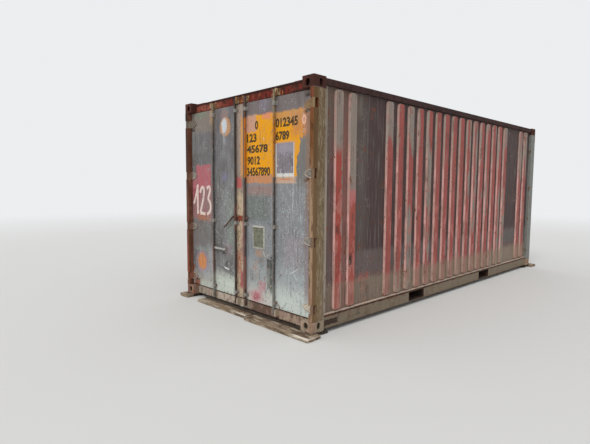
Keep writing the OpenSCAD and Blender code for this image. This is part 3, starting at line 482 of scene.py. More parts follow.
RIGHT_PATCHES = [
    # Shaded head of the door, and broad fading.
    at("756a68", 0.0, 2.24, 1.16, 2.6, 0.05, 0.8),
    at("8a8090", 0.3, 2.33, 0.46, 2.5, 0.05, 0.6, oval=True),
    at("8d9093", 0.0, 0.3, 1.16, 1.6, 0.1, 0.75),
    at("79756f", 0.9, 1.5, 1.1, 2.1, 0.06, 0.7),
    # The yellow field, with an orange rim and blush.
    at("c08a58", 0.97, 2.02, 1.17, 2.29, 0.04, 0.9),
    at("d88a50", 0.93, 2.04, 1.13, 2.25, 0.02),
    at("YELLOW", 0.54, 2.0, 1.0, 2.29, 0.012),
    at("YELLOW", 0.54, 1.6, 0.915, 2.05, 0.012),
    at("YELLOW", 0.8, 1.8, 0.97, 2.15, 0.012, oval=True),
    at("YELLOW", 0.015, 1.6, 0.56, 2.3, 0.012),
    at("c9844c", 0.84, 2.03, 1.02, 2.26, 0.1, 0.75),
    at("b98c66", 0.54, 2.175, 1.0, 2.3, 0.03, 0.6),
    at("c99a84", 0.02, 2.12, 0.24, 2.31, 0.03, 0.95),
    at("dc8878", 0.36, 2.24, 0.5, 2.31, 0.03, 0.7),
    at("c98a5e", 0.0, 1.53, 0.54, 1.63, 0.012),
    # A glued sheet: a white rim round mottled grey.
    at("c8a890", 0.56, 1.53, 0.9, 1.6, 0.012, ragged=False),
    at("d08050", 0.65, 1.565, 0.83, 1.58, 0.008, ragged=False),
    at("dcdad4", 0.572, 1.6, 0.876, 1.958, 0.01, ragged=False),
    at("857e84", 0.602, 1.638, 0.864, 1.962, 0.014, worn=False, ragged=False),
    at("a39ba8", 0.6, 1.86, 0.864, 1.962, 0.06, 0.7, ragged=False),
    at("c9c6ca", 0.602, 1.638, 0.68, 1.8, top=0.8, spots=0.035, ragged=False),
    at("5c575c", 0.64, 1.64, 0.862, 1.88, top=0.85, spots=0.03, ragged=False),
    at("57525a", 0.605, 1.64, 0.862, 1.95, top=0.7, spots=0.011, ragged=False),
    at("bdb8c0", 0.605, 1.64, 0.862, 1.95, top=0.6, spots=0.014, ragged=False),
    # Stains below, and a line of painted shade along the fold in the skin.
    at("9e7a70", 0.08, 1.38, 0.55, 1.51, 0.05, 0.7),
    at("69706a", 0.07, 1.08, 0.46, 1.39, 0.08, 0.7),
    at("c4c6c0", 0.857, 1.2, 0.866, 1.5, 0.008, 0.8),
    # Painted shade along the fold in the skin.
    at("6d6c6a", 0.545, 0.1, 0.575, 2.5, 0.02, 0.5, ragged=False, worn=False),
    at("9a9094", 0.74, 0.62, 1.02, 0.98, 0.1, 0.7),
    at("8a9298", 0.04, 0.55, 0.2, 0.85, 0.08, 0.7),
    at("b08a70", 0.17, 0.42, 0.27, 0.6, 0.04, 0.8),
    at("b08a70", 0.24, 0.68, 0.33, 0.76, 0.04, 0.8),
    at("5f5e5a", 0.3, 0.56, 0.38, 0.68, 0.04, 0.7),
    # The foot, splashed pale.
    at("a5aaab", 0.03, -0.6, 1.2, 0.62, 0.3, 0.8),
    at("cdd6cf", 0.5, -0.6, 1.25, 0.36, 0.25, 0.95),
    at("d2d0c8", 0.03, -0.6, 0.56, 0.3, 0.2, 0.85),
    # Dark smears beside a bar, then pink primer at the foot.
    at("74746e", 0.435, 0.33, 0.525, 0.66, 0.02, 0.8),
    at("4f504c", 0.43, 0.56, 0.53, 0.67, 0.02, 0.9),
    at("4f504c", 0.49, 0.3, 0.53, 0.6, 0.015, 0.8),
    at("c08a90", 0.3, 0.29, 0.41, 0.4, 0.04, 0.7),
    at("c99a9c", 0.12, 0.12, 0.36, 0.28, 0.08, 0.8, turn=0.35),
    at("c0707a", 0.18, 0.16, 0.31, 0.25, 0.05, turn=0.45, oval=True),
    # The hinge side, rusty at each hinge, with a dark line of rust and painted shadow under the upper three
    # blades.
    at("8f7666", 1.05, 1.2, 1.16, 2.3, 0.03, 0.85),
    # Rust and painted shadow under the upper three hinge blades.
    at("6a4a36", 1.03, 1.555, 1.13, 1.585, 0.015, turn=0.25, ragged=False),
    at("6a4a36", 1.03, 0.862, 1.13, 0.892, 0.015, turn=0.25, ragged=False),
    at("5a4636", 1.03, 2.245, 1.13, 2.28, 0.015, turn=0.25, ragged=False),
    at("3f3028", 1.04, 2.4, 1.14, 2.43, 0.015, 0.8, ragged=False),
    at("8f7e7e", 1.04, 0.3, 1.16, 1.2, 0.04, 0.75),
    # Fine spots and streaks.
    at("b08868", 0.95, 2.33, 1.12, 2.46, 0.03, spots=0.05),
    at("c9cdc9", 0.56, 0.2, 1.1, 1.5, 0.1, 0.8, spots=0.009),
    at("4f524f", 0.07, 0.15, 0.56, 1.4, 0.06, 0.75, spots=0.013),
    at("c2b8a4", 0.03, 0.12, 0.56, 0.8, 0.1, 0.7, spots=0.028),
    at("7d8a84", 0.05, 0.3, 0.5, 0.75, 0.08, 0.7, spots=0.045),
    at("a87468", 0.1, 0.15, 0.45, 0.75, 0.08, 0.6, spots=0.03),
    at("c4622e", 0.0, 1.58, 0.02, 2.3, 0.01, 0.8),
    at("b6bbbd", 0.7, 0.35, 1.02, 1.55, 0.1, 0.75, spots=0.011, drawn=15),
    at("6a6c6e", 0.57, 0.3, 1.1, 1.5, 0.1, 0.5, spots=0.01, drawn=18),
    at("c8ccc6", 0.07, 0.9, 0.56, 1.42, top=0.75, spots=0.008),
    # Scratches, then spots at the foot.
    at("e4e6e4", 0.83, 0.585, 0.93, 0.591, 0.006, turn=0.5, ragged=False),
    at("e4e6e4", 0.88, 0.525, 0.93, 0.531, 0.006, turn=-0.9, ragged=False),
    at("e0e4de", 0.6, 0.14, 1.14, 0.4, top=0.7, spots=0.016),
    at("7a5a48", 0.0, 0.1, 1.16, 0.2, top=0.9, spots=0.03),
]


class CONTAINER_OT_doors(bpy.types.Operator):
    """Paints both doors: chalked grey enamel with old patches, fields and chips"""
    bl_idname = "container.doors"
    bl_label = "Paint the doors"

    def execute(self, context):
        grey = context.scene.container_look.grey
        bases = (("left", "706b6c", LEFT_PATCHES), ("right", grey, RIGHT_PATCHES))
        for side, base, patches in bases:
            material = door_paint(f"chalked_grey_enamel_{side}_door", base, patches)
            paint(material, f"{side}_door_frame", f"{side}_door_panel")
        return {"FINISHED"}


class CONTAINER_OT_shell(bpy.types.Operator):
    """Paints the walls, roof, posts, rails, castings and base"""
    bl_idname = "container.shell"
    bl_label = "Paint the shell"

    def execute(self, context):
        self.walls()
        self.ends()
        self.posts()
        self.rails()
        # Cast steel, long bare: deep red-brown crust that takes no light.
        cast = rusted("rusted_cast_steel", "40241f", "4e2a22", "6e3a2a", 2.0, relief=0.9)
        paint(cast, "top_castings")
        # Cast steel under thin enamel: sandy and tan, redder on the left, with painted shadow along its foot
        # on the timbers.
        low = rusted("grey_paint_on_cast_steel", "b89e88", "c4ab95", "bd947c", 2.5, "a2917d", 0.6, relief=0.8,
                     extra=[
                         at("8f6a56", -1.23, 0, -1.17, 0.2, 0.03, 0.5),
                         at("8a8370", -2.97, 0, -2.8, 0.2, 0.06, 0.75, axis=0),
                         at("7a5448", 1.0, 0, FAR, 0.2, top=0.8),
                         at("8c4f38", 1.0, 0, FAR, 0.2, top=0.7, spots=0.04),
                         # Painted shadow along the foot of the castings.
                         at("2a211c", -FAR, 0, FAR, 0.046, 0.008, 0.9)])
        paint(low, "bottom_castings")
        # Rolled steel under tar: nearly black, browned by rust.
        base = rusted("tarred_and_rusted_steel", "2f2a28", "4a342b", "5f4030", 14.0)
        paint(base, "cross_members", "fork_pockets")
        return {"FINISHED"}

    def walls(self):
        # Red primer and grey enamel on pressed sheet, both faded: dull brown flats streaked by rain, and
        # proud ribs of a clearer red with darker scuffs. The rib flanks are painted pale as painted light,
        # and the flats carry painted shade, darkest past the second rib. The inside is plain pale grey.
        rust = bpy.context.scene.container_look.rust
        material, tree, place, cloud = surface("faded_primer_on_pressed_sheet")
        ragged = torn(tree, place, 0.09)

        def area(*box, edge=0.03, top=1.0, spot=ragged):
            return patch(tree, spot, box, 0, edge, top)

        run = cloud(0.02, 0.45, 0.7, (1, 1, 20), 3.3, 0.6)
        fade = cloud(0.3, 0.4, 0.66, (1, 1, 1.5), 5.1, 0.6)
        chips = cloud(0.012, 0.6, 0.65, (1, 1, 1.4), 9.4, 0.8)
        where = cloud(0.18, 0.47, 0.6, seed=2.2)
        # How far out the sheet lies, in metres, tells its pressed flanks and its proud faces.
        side = add(tree, "Math", {0: add(tree, "SeparateXYZ", {0: place}).outputs[1]}, operation="ABSOLUTE")
        flank = add(tree, "MapRange", {"Value": side, "From Min": 1.176, "From Max": 1.182})
        proud = add(tree, "MapRange", {"Value": side, "From Min": 1.2015, "From Max": 1.2028})
        others = cloud(0.5, 0.42, 0.47, (0.45, 1, 2.6), 4.0)
        beyond = area(-2.3, -FAR, FAR, FAR, edge=0.02, spot=place)
        layers = [
            ("6f5a56", fade), ("4b3f3d", run),
            ("6a5c50", area(-2.9, 2.0, -2.3, 2.6, edge=0.15, top=0.6)),
            # Painted shade on the flats past the second rib, above knee height.
            ("473a39", area(-2.31, 0.8, FAR, FAR, edge=0.08, top=0.9, spot=place)),
            ("776c60", area(-2.29, 2.3, -2.2, 2.55, edge=0.06, top=0.5)),
            ("5f5f5e", area(-2.36, 0.55, FAR, 0.8, edge=0.1, top=0.75)),
            ("74675a", area(-FAR, 0.1, FAR, 0.5, edge=0.1, top=0.7)),
            # Painted light: the shade eases off towards the second rib.
            ("736e68", area(-2.32, 0.9, -2.12, 2.6, edge=0.2, top=0.35)),
            ("7c7671", cloud(0.016, 0.52, 0.68, (1, 1, 24), 13.0, 0.45), beyond),
            ("8c5e56", area(-2.56, 0.2, -2.46, 2.3, top=0.8)),
            # The plain strip beside the post.
            ("a89c90", area(-FAR, -FAR, -2.776, FAR, edge=0.012, spot=place)),
            ("75695a", area(-FAR, 1.9, -2.77, FAR, edge=0.2, top=0.7)),
            # A line of painted shade where the sheet steps back into its first recess.
            ("65574f", area(-2.776, -FAR, -2.745, FAR, edge=0.015, top=0.8, spot=place)),
            # The flanks of the ribs, painted pale: painted light.
            ("dcaaa2", flank), ("a8988c", flank, area(-FAR, 1.93, FAR, FAR, edge=0.3)),
            ("bb958a", flank, cloud(0.05, 0.4, 0.6, (1, 1, 5), 6.6)),
            # Their proud faces.
            ("8d8178", proud), ("9c857a", proud, fade), ("7b7066", proud, run),
            ("a04a40", proud, area(-2.8, 0.2, -2.577, 1.93, edge=0.02)),
            ("9f5248", proud, area(-2.5, 0.2, -2.3, 1.44, edge=0.02)), ("9c524c", proud, others, beyond),
            ("b06a62", proud, cloud(0.08, 0.53, 0.6, (1, 1, 3), 7.0),
             area(-FAR, 0, FAR, 1.5, edge=0.3, spot=place)),
            ("b8706e", proud, area(-2.5, 1.36, -2.3, 1.5, edge=0.05, top=0.8)),
            ("5a332c", area(-2.44, 1.3, -2.38, 1.4), proud, fade),
            ("4f2f28", proud, area(-2.45, 0.68, -2.39, 0.8)),
            ("6a3a34", proud, area(-2.7, 1.03, -2.6, 1.13, edge=0.04, top=0.8)),
            # Scrapes and rust over all of it.
            ("9c5a52", area(-2.31, 0.46, -2.05, 0.56), cloud(0.04, 0.46, 0.56, (1, 1, 0.7), 14.0)),
            ("a06a5e", area(-2.2, 0.22, -2.08, 0.5), cloud(0.03, 0.5, 0.6, seed=16.0)),
            ("948472", area(-2.31, 0.2, FAR, 0.48, edge=0.12, top=0.6)),
            ("54423c", run, where), ("b8b0a6", chips, where, cloud(0.4, 0.5, 0.6, seed=1.1)),
            (rust, cloud(0.03, 0.58, 0.66, (1, 1, 2.5), 8.0), cloud(0.25, 0.48, 0.62, seed=3.9))]
        outside = coats(tree, "6b4f4c", layers)
        inside = coats(tree, "a3a49c", [("87857c", run), ("b6b7ae", fade), (rust, chips, where)])
        dents = cloud(0.3, 0.3, 0.7, seed=15.0, detail=1.0)
        close(tree, inside, [(outside, outward(tree, place, 1))], 0.66,
              [(dents, 6.0), (chips, -0.3), (fade, 0.3)])
        paint(material, "left_side_wall", "right_side_wall")

    def ends(self):
        # Grey enamel on the sheets of the roof and the blind end: chalky, with rain tracks and rust scabs.
        for name, axis, node, base, down in (
                ("weathered_grey_enamel_roof", 2, "roof_panel", "84847e", (1, 8, 1)),
                ("weathered_grey_enamel_front", 0, "front_wall", "77777a", (1, 1, 20))):
            material, tree, place, cloud = surface(name)
            fade = cloud(0.4, 0.4, 0.66, seed=5.1 + axis, top=0.6)
            run = cloud(0.022, 0.45, 0.7, down, 3.3 + axis, 0.5)
            where = cloud(0.45, 0.46, 0.6, seed=7.0 + axis)
            scabs = cloud(0.035, 0.57, 0.63, (1, 1, 1.8), 9.0 + axis)
            tracks = cloud(0.02, 0.5, 0.68, down, 11.0 + axis, 0.8)
            fine = cloud(0.014, 0.45, 0.6, seed=1.0)
            outside = coats(tree, base, [
                ("9a9c98", fade), ("5c5450", run), ("86604a", tracks, where), ("8d5a40", scabs, where),
                ("5a3426", scabs, fine, where)])
            inside = coats(tree, "a3a49c", [("87857c", run), ("b6b7ae", fade)])
            dents = cloud(0.35, 0.3, 0.7, seed=15.0, detail=1.0)
            close(tree, inside, [(outside, outward(tree, place, axis))], 0.66,
                  [(dents, 6.0), (scabs, 0.5), (fine, 0.2)])
            paint(material, node)

    def posts(self):
        # Old enamel rusted through on the folded door posts: ochre and brown, drawn down in long streaks,
        # darker under the header, and khaki where the side of the post still holds paint.
        fronts = {
            "right": [
                at("a88d72", -FAR, -FAR, FAR, 1.9, 0.5, 0.85),
                at("8a5e38", -1.172, -FAR, -1.15, FAR, 0.01, 0.7),
                at("7a4c26", -FAR, 1.7, FAR, FAR, 0.7, 0.85), at("7c4430", -FAR, 2.28, FAR, FAR, 0.25, 0.9),
                at("9c7868", -FAR, 0.1, FAR, 0.5, 0.2, 0.5),
                at("4f3018", -FAR, -FAR, FAR, FAR, top=0.7, spots=0.018, drawn=7)],
            "left": [
                at("4a2f28", -FAR, 1.5, FAR, FAR, 0.4, 0.95), at("2a201b", -FAR, 2.36, FAR, FAR, 0.12, 0.85),
                at("744638", -FAR, -FAR, FAR, 1.2, 0.3, 0.7), at("884a36", -FAR, 0.3, FAR, 0.75, 0.1, 0.7),
                at("94502c", -FAR, 0.3, FAR, 0.5, spots=0.05),
                at("9a8f76", -FAR, 0.1, FAR, 0.33, spots=0.06)]}
        flank = [
            at("86684a", -FAR, -FAR, -2.972, FAR, 0.015, 0.9),
            at("968569", -2.972, -FAR, -2.9, FAR, 0.015, 0.9),
            at("91866f", -2.9, -FAR, -2.87, FAR, 0.015, 0.9),
            at("aa9f8f", -2.872, -FAR, -2.8, FAR, 0.015, 0.9),
            at("5b3c17", -FAR, 1.7, -2.94, FAR, 0.4, 0.85), at("4a3526", -2.98, 2.2, -2.9, FAR, 0.25, 0.8),
            at("6f5a3d", -2.96, 1.8, -2.85, FAR, 0.2, 0.75),
            at("5a3d22", -2.975, -FAR, -2.94, FAR, top=0.8, spots=0.02, drawn=9),
            at("6b5a3e", -2.96, -FAR, -2.86, FAR, top=0.6, spots=0.016, drawn=8),
            at("b0a48c", -2.96, -FAR, -2.85, FAR, top=0.4, spots=0.014, drawn=6),
            at("43301f", -2.874, -FAR, -2.866, FAR, 0.006, 0.7)]
        for side, sign, rust in (("right", -1, ("6a4c34", "7f6146", "96704a")),
                                 ("left", 1, ("643f30", "7a5040", "8c5e48"))):
            extra = [(colour, box, {**more, "look": (-1, 0, 0)}) for colour, box, more in fronts[side]]
            extra += [(colour, box, {**more, "look": (0, sign, 0), "axis": 0}) for colour, box, more in flank]
            post = rusted(f"ochre_rust_on_{side}_post", *rust, 3.0, drawn=2.6, extra=extra)
            paint(post, f"{side}_door_post")
        # Grey enamel that still covers most of the folded steel, with rust at its edges.
        front = rusted("grey_enamel_over_rust", "6d5c4e", "7b7770", "8a5a3c", 6.0, "83847f", 0.8)
        paint(front, "left_front_post", "right_front_post")

    def rails(self):
        # Red oxide primer on folded plate: dark wine red, black along the top, orange where it lifts.
        header = rusted("red_oxide_on_rusted_plate", "5a1e16", "6f2a1f", "944632", 4.0, "74281d", 0.5, extra=[
            at("8f4f3a", -0.55, 2.5, -0.15, 2.64, top=0.7, spots=0.07),
            at("a05c4a", 0.5, 2.52, 1.1, 2.6, 0.08, 0.8),
            at("7c3a26", -1.05, 2.52, -0.62, 2.6, top=0.8, spots=0.09),
            at("341d17", -1.25, 2.5, 1.25, 2.64, top=0.8, spots=0.05),
            at("24140f", -1.25, 2.59, 1.25, 2.64, 0.025, 0.9),
            at("b0703c", 0.05, 2.5, 0.2, 2.58, spots=0.05),
            at("b8854c", -0.68, 2.5, -0.5, 2.6, spots=0.05),
            at("b0855c", 0.54, 2.51, 0.7, 2.6, spots=0.05),
            at("2f211e", -1.06, 2.51, -0.8, 2.535, 0.015, 0.9)])
        paint(header, "door_header", "roof_end_plates")
        # Flat bar that the doors close on, bare: an even dull brown.
        stops = rusted("rusted_flat_bar", "3f2c27", "543a30", "6f4a38", 4.6)
        paint(stops, "door_stops")
        # Enamel on folded plate that loads are dragged over: tan and pink-grey blotches, painted shade at the
        # top and the foot.
        sill = rusted("mottled_enamel_on_rusted_sill", "98846e", "a8957e", "b4977c", 5.0, drawn=0.7, extra=[
            at("a79d8e", 0.62, 0, 1.1, 0.3, 0.05, 0.8), at("c9bcac", -0.1, 0, 0.6, 0.3, 0.04, 0.9),
            at("b8948a", 0.2, 0, 0.45, 0.13, top=0.8, spots=0.12),
            at("6a5448", -0.5, 0, -0.13, 0.3, 0.06, 0.9),
            at("8c6a5c", -0.45, 0, -0.1, 0.3, top=0.7, spots=0.1),
            at("b8a18c", -1.1, 0, -0.58, 0.3, 0.05, 0.85),
            at("a5837c", -1.1, 0, 1.1, 0.3, top=0.6, spots=0.12),
            at("5a4434", -1.1, 0, 1.1, 0.3, top=0.6, spots=0.05),
            # Painted shade: a dark band along the top under the doors, and one along the foot.
            at("2c231e", -1.1, 0.155, 1.1, 0.3, 0.012, 0.9), at("2c231e", -1.1, 0, 1.1, 0.058, 0.012, 0.85)])
        paint(sill, "door_sill")
        # Brown oxide on square tube: nearly black, and dull.
        top = rusted("brown_oxide_rail", "32211f", "392523", "533228", 7.0, "402c2a", 0.4)
        paint(top, "left_top_rail", "right_top_rail", "front_top_rail")
        # Enamel on pressed channel: khaki, with a pale upper lip, rust spots and a line of painted shadow
        # under it, and dark marks.
        bottom = rusted("grey_enamel_over_rust_rail", "665847", "716250", "7a4c38", 8.0, "7a6d5c",
                        share=0.7, extra=[
            at("897d6c", -2.6, 0.05, FAR, 0.2, 0.1, 0.4, axis=0),
            at("3c2c24", -2.83, 0.08, -2.61, 0.14, top=0.95, axis=0),
            at("55504a", -2.29, 0.09, -2.27, 0.12, 0.01, axis=0),
            at("55504a", -2.25, 0.09, -2.23, 0.12, 0.01, axis=0),
            at("8f4f42", -FAR, 0.17, FAR, 0.197, top=0.8, spots=0.09, axis=0),
            # Painted shadow under the lip.
            at("3f231a", -FAR, 0.174, FAR, 0.194, 0.008, 0.9, axis=0),
            at("cdb9aa", -FAR, 0.197, FAR, 0.3, 0.005, 0.85, axis=0)])
        paint(bottom, "left_bottom_rail", "right_bottom_rail", "front_bottom_rail")


class CONTAINER_OT_gear(bpy.types.Operator):
    """Finishes the locking gear, hinges and seals"""
    bl_idname = "container.gear"
    bl_label = "Finish the locking gear"

    def tube(self, name, base, light, patches):
        """Enamel on steel tube, sprayed over with the door, then rubbed: rust spots, painted light on the
        faces that turn to +Y and painted shade on those that turn to -Y.
        """
        material, tree, place, cloud = surface(name)
        fade = cloud(0.04, 0.4, 0.64, (1, 1, 5), 3.0, 0.6)
        marks = cloud(0.03, 0.54, 0.62, (1, 1, 3), 5.0)
        fine = cloud(0.008, 0.4, 0.62, (1, 1, 2), 7.0)
        ragged = torn(tree, place, 0.05)
        # Painted light on the side that turns to +Y, painted shade on the side that turns to -Y.
        layers = [(light, facing(tree, (-0.4, 1, 0), 0.2, 0.7)), ("3d3833", fade),
                  ("37322e", facing(tree, (0.3, -1, 0), 0.55, 0.95))]
        layers += [(colour, patch(tree, ragged, box, **options)) for colour, box, options in patches]
        layers += [("6b4632", marks, fine), (light, cloud(0.012, 0.58, 0.64, (1, 1, 4), 9.0, 0.7))]
        close(tree, base, layers, 0.6, [(marks, 0.5), (fine, 0.15)])
        return material

    def execute(self, context):
        # Forged steel with its grey paint knocked off: warm brown with tan remains, paler at the sill.
        keepers = rusted("rusted_forged_keepers", "70492f", "8c6440", "a5774a", 9.0, "a89272", 0.5, extra=[
            at("b9ab98", -FAR, 0, FAR, 0.3, top=0.8)])
        paint(keepers, "header_keepers", "sill_keepers")
        # Forged blades sprayed over with the doors: smooth grey, brown at the knuckles and the top hinge.
        hinge = rusted("grey_paint_on_forged_hinges", "77716c", "858079", "9a8672", 10.0, "8f8a82",
                       relief=0.3, extra=[
            at("7d5f44", -FAR, -FAR, -1.135, FAR, 0.02, 0.85), at("6a4c3c", 1.135, -FAR, FAR, FAR, 0.02),
            at("756a5f", 1.0, 2.1, FAR, FAR, 0.1), at("8c7354", -FAR, 2.1, -1.0, FAR, 0.1),
            at("cdc1ad", -1.14, 0.2, -1.0, 0.5, 0.02), at("7c4a36", 1.06, 0.2, FAR, 0.5, 0.03, 0.9)])
        paint(hinge, "left_door_hinges", "right_door_hinges")
        # Pressed steel sprayed over with the doors: grey, mostly sound, rusted where it was struck.
        guide = rusted("grey_paint_on_pressed_guides", "6d675f", "7c766c", "84583e", 11.0, "94918a", 0.9,
                       relief=0.3)
        paint(guide, "left_bar_guides", "right_bar_guides", "handle_catch")
        pale_foot = at("8d8f86", -1, 0, 1, 0.42, 0.15, 0.6)
        tan_head = at("94805f", -1, 2.28, 1, FAR, 0.08, 0.75)
        # Each bar: base colour, the pale colour of its painted light side and specks, and patches.
        bars = (("625b57", "8d8783", [at("7a4f42", 0, 0.3, 1, 0.75, 0.2, 0.5), pale_foot, tan_head]),
                ("3a332e", "5a524c", [at("6a4034", 0, 1.0, 1, 1.3, 0.1, 0.7)]),
                ("5e423a", "8a6a60", [at("b4681c", -1, 1.64, 1, 2.33),
                                      at("8a5048", -1, 0.3, 1, 0.7, top=0.6)]),
                ("5f5b58", "8b8886", [at("b87418", -1, 1.64, 1, 2.33, top=0.85), pale_foot, tan_head]))
        for number, (base, light, patches) in enumerate(bars, 1):
            paint(self.tube(f"rubbed_enamel_on_tube_{number}", base, light, patches), f"locking_bar_{number}")
        # Turned steel pins, bare: dark brown with lighter rims.
        pins = rusted("rusted_hinge_pins", "4b3a30", "6a4a38", "84583e", 15.0)
        paint(pins, "hinge_pins")
        # Galvanised flat bar, worn by hands: pale grey with some sheen, brown where the zinc is gone.
        light = rusted("worn_galvanised_handle", "9a948e", "a8a29c", "7d5f50", 16.0, "bab6b0", 0.8, 0.55,
                       relief=0.2)
        paint(light, "door_handle_1")
        # Forged bar, bare: dark brown and fairly smooth.
        handle = rusted("rusted_forged_handle", "453c37", "5c4a40", "7a5442", 17.0, relief=0.4)
        paint(handle, "door_handle_2")

        # Moulded EPDM rubber: matt black, greyed by dust, faintly grained.
        material, tree, place, cloud = surface("aged_black_rubber_seal")
        dust = cloud(0.05, 0.4, 0.7, (1, 1, 1.5), 3.0)
        fine = cloud(0.006, 0.4, 0.6, seed=1.0)
        close(tree, "24221f", [("4a453e", dust), ("3a302a", fine)], 0.78, [(fine, 0.2), (dust, 0.3)])
        paint(material, "left_door_seal", "right_door_seal")
        return {"FINISHED"}


class CONTAINER_OT_floor(bpy.types.Operator):
    """Lays plywood floor sheets with gaps and screws over the cross members"""
    bl_idname = "container.floor"
    bl_label = "Lay the floor"

    def execute(self, context):
        gap = context.scene.container_sizes.board_gap
        low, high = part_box("floor_boards")
        wide, long, rows = (high.y - low.y) / 2, (high.x - low.x) / 5, []
        for i in range(5):
            for j in range(2):
                start = Vector((low.x + i * long, low.y + j * wide, low.z))
                reach = Vector((long - gap / 2, wide - gap / 2, high.z - low.z - 0.0006))
                rows.append(eased_block(start + Vector((gap / 2, gap / 2, 0)), start + reach, 0.0015, 1))
        boards = join(rows, "floor_sheets")
        # Birch plywood, varnished and worn by loads: brown, dark scuffs, grain along the box. Its grain is
        # drawn 6 mm wide, coarser than a real one, so that it shows.
        material, tree, place, cloud = surface("worn_varnished_plywood")
        grain = cloud(0.006, 0.4, 0.65, (60, 1, 1), 2.0)
        figure = cloud(0.05, 0.4, 0.65, (9, 1, 1), 4.0, 0.7)
        scuff = cloud(0.14, 0.52, 0.66, (2.5, 1, 1), 6.0, 0.7)
        scratch = cloud(0.004, 0.66, 0.7, (90, 1, 1), 8.0)
        close(tree, "6f5238", [("8a6a48", figure), ("4d3826", grain), ("3b2f26", scuff), ("a08868", scratch)],
              0.6, [(grain, 0.15), (scratch, -0.2), (scuff, 0.1)])
        finish(boards, "container", material)
        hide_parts("floor_boards")

        clear()
        bpy.ops.mesh.primitive_cylinder_add(
            vertices=10, radius=0.0055, depth=0.002, location=(0, 0, high.z - 0.001))
        screw = bpy.context.object
        facing_faces(screw, (0, 0, 1))
        bpy.ops.mesh.inset(thickness=0.002, depth=-0.0006)
        mode("OBJECT")
        across = (0.05, 0.3, 0.56, 0.82, 1.08)
        lines = (*[-y for y in reversed(across)], *across)
        places = [(-2.55 + 0.3 * i, y, 0) for i in range(18) for y in lines]
        screws = join(copies(screw, places), "floor_screws")
        # Steel screws, walked over for years: dull brown heads.
        heads = rusted("rusted_screw_heads", "3a2e28", "5a4336", "74523c", 21.0)
        finish(screws, "container", heads)
        return {"FINISHED"}


class CONTAINER_OT_timbers(bpy.types.Operator):
    """Stacks weathered boards under both ends"""
    bl_idname = "container.timbers"
    bl_label = "Stack the timbers"

    def execute(self, context):
        seed = context.scene.container_sizes.scatter
        # Old softwood boards: silver-brown, open grain along the board, painted shadow under the box,
        # whitewash on some edges. The grain is drawn 6 mm wide, coarser than a real one, so that it shows.
        material, tree, place, cloud = surface("weathered_softwood_boards")
        grain = cloud(0.006, 0.42, 0.62, (1, 60, 1), 2.0)
        figure = cloud(0.04, 0.4, 0.62, (1, 9, 1), 4.0)
        dark = cloud(0.09, 0.5, 0.62, (1, 2, 1), 5.0, 0.8)
        pale = cloud(0.05, 0.5, 0.58, (1, 4, 1), 9.0, 0.8)
        ragged = torn(tree, place, 0.03)
        white = [("dcd2c3", patch(tree, ragged, box, edge=0.015),
                  patch(tree, place, (near, -FAR, far, FAR), 0, 0.004)) for box, near, far in (
                      ((-1.33, 0.019, -1.09, 0.05), -3.2, -3.15), ((-1.33, 0.03, -1.297, 0.05), -3.2, -2.9),
                      ((-0.25, 0.034, -0.05, 0.05), -3.13, -3.1))]
        # Painted shadow on the boards where the box stands over them.
        box_shadow = patch(tree, ragged, (-3.02, -FAR, 3.02, FAR), 0, 0.03, 0.85)
        grip = patch(tree, ragged, (-1.235, -FAR, 1.235, FAR), edge=0.03)
        layers = [("a89680", figure), ("705c49", grain), ("5a4a3c", dark), ("b4a692", pale),
                  ("2b2420", box_shadow, grip), *white]
        close(tree, "94806a", layers, 0.85, [(grain, -0.8), (figure, 0.8), (dark, 0.6)])
        # Each group of boards: nearest and farthest from the box's middle, start and end across it.
        groups = ((2.965, 3.165, -1.305, -0.25), (2.78, 2.965, -1.219, -0.25), (2.86, 3.12, -0.25, 0.81),
                  (2.87, 3.12, 1.07, 1.27))
        for end, sign in (("door_end_timbers", -1), ("front_end_timbers", 1)):
            boards = []
            for g, (near, far, start, stop) in enumerate(groups):
                width = (far - near) / 2
                for layer, k in ((0, 0), (0, 1), (1, 0), (1, 1)):
                    slip = 0.006 * ((seed + 5 * g + 3 * k + 7 * layer) % 4)
                    a, b = near + k * width + 0.001, near + (k + 1) * width - 0.001
                    if k == 1 and layer == 1:
                        b -= 0.006 * (g % 2)
                    xs = sorted((sign * a, sign * b))
                    boards.append(eased_block((xs[0], start + slip + 0.002, 0.02 * layer + 0.0005),
                                              (xs[1], stop - slip - 0.002, 0.02 * layer + 0.0195), 0.0025))
            stack = join(boards, end.replace("timbers", "board_stack"))
            finish(stack, "container", material)
            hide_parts(end)
        return {"FINISHED"}


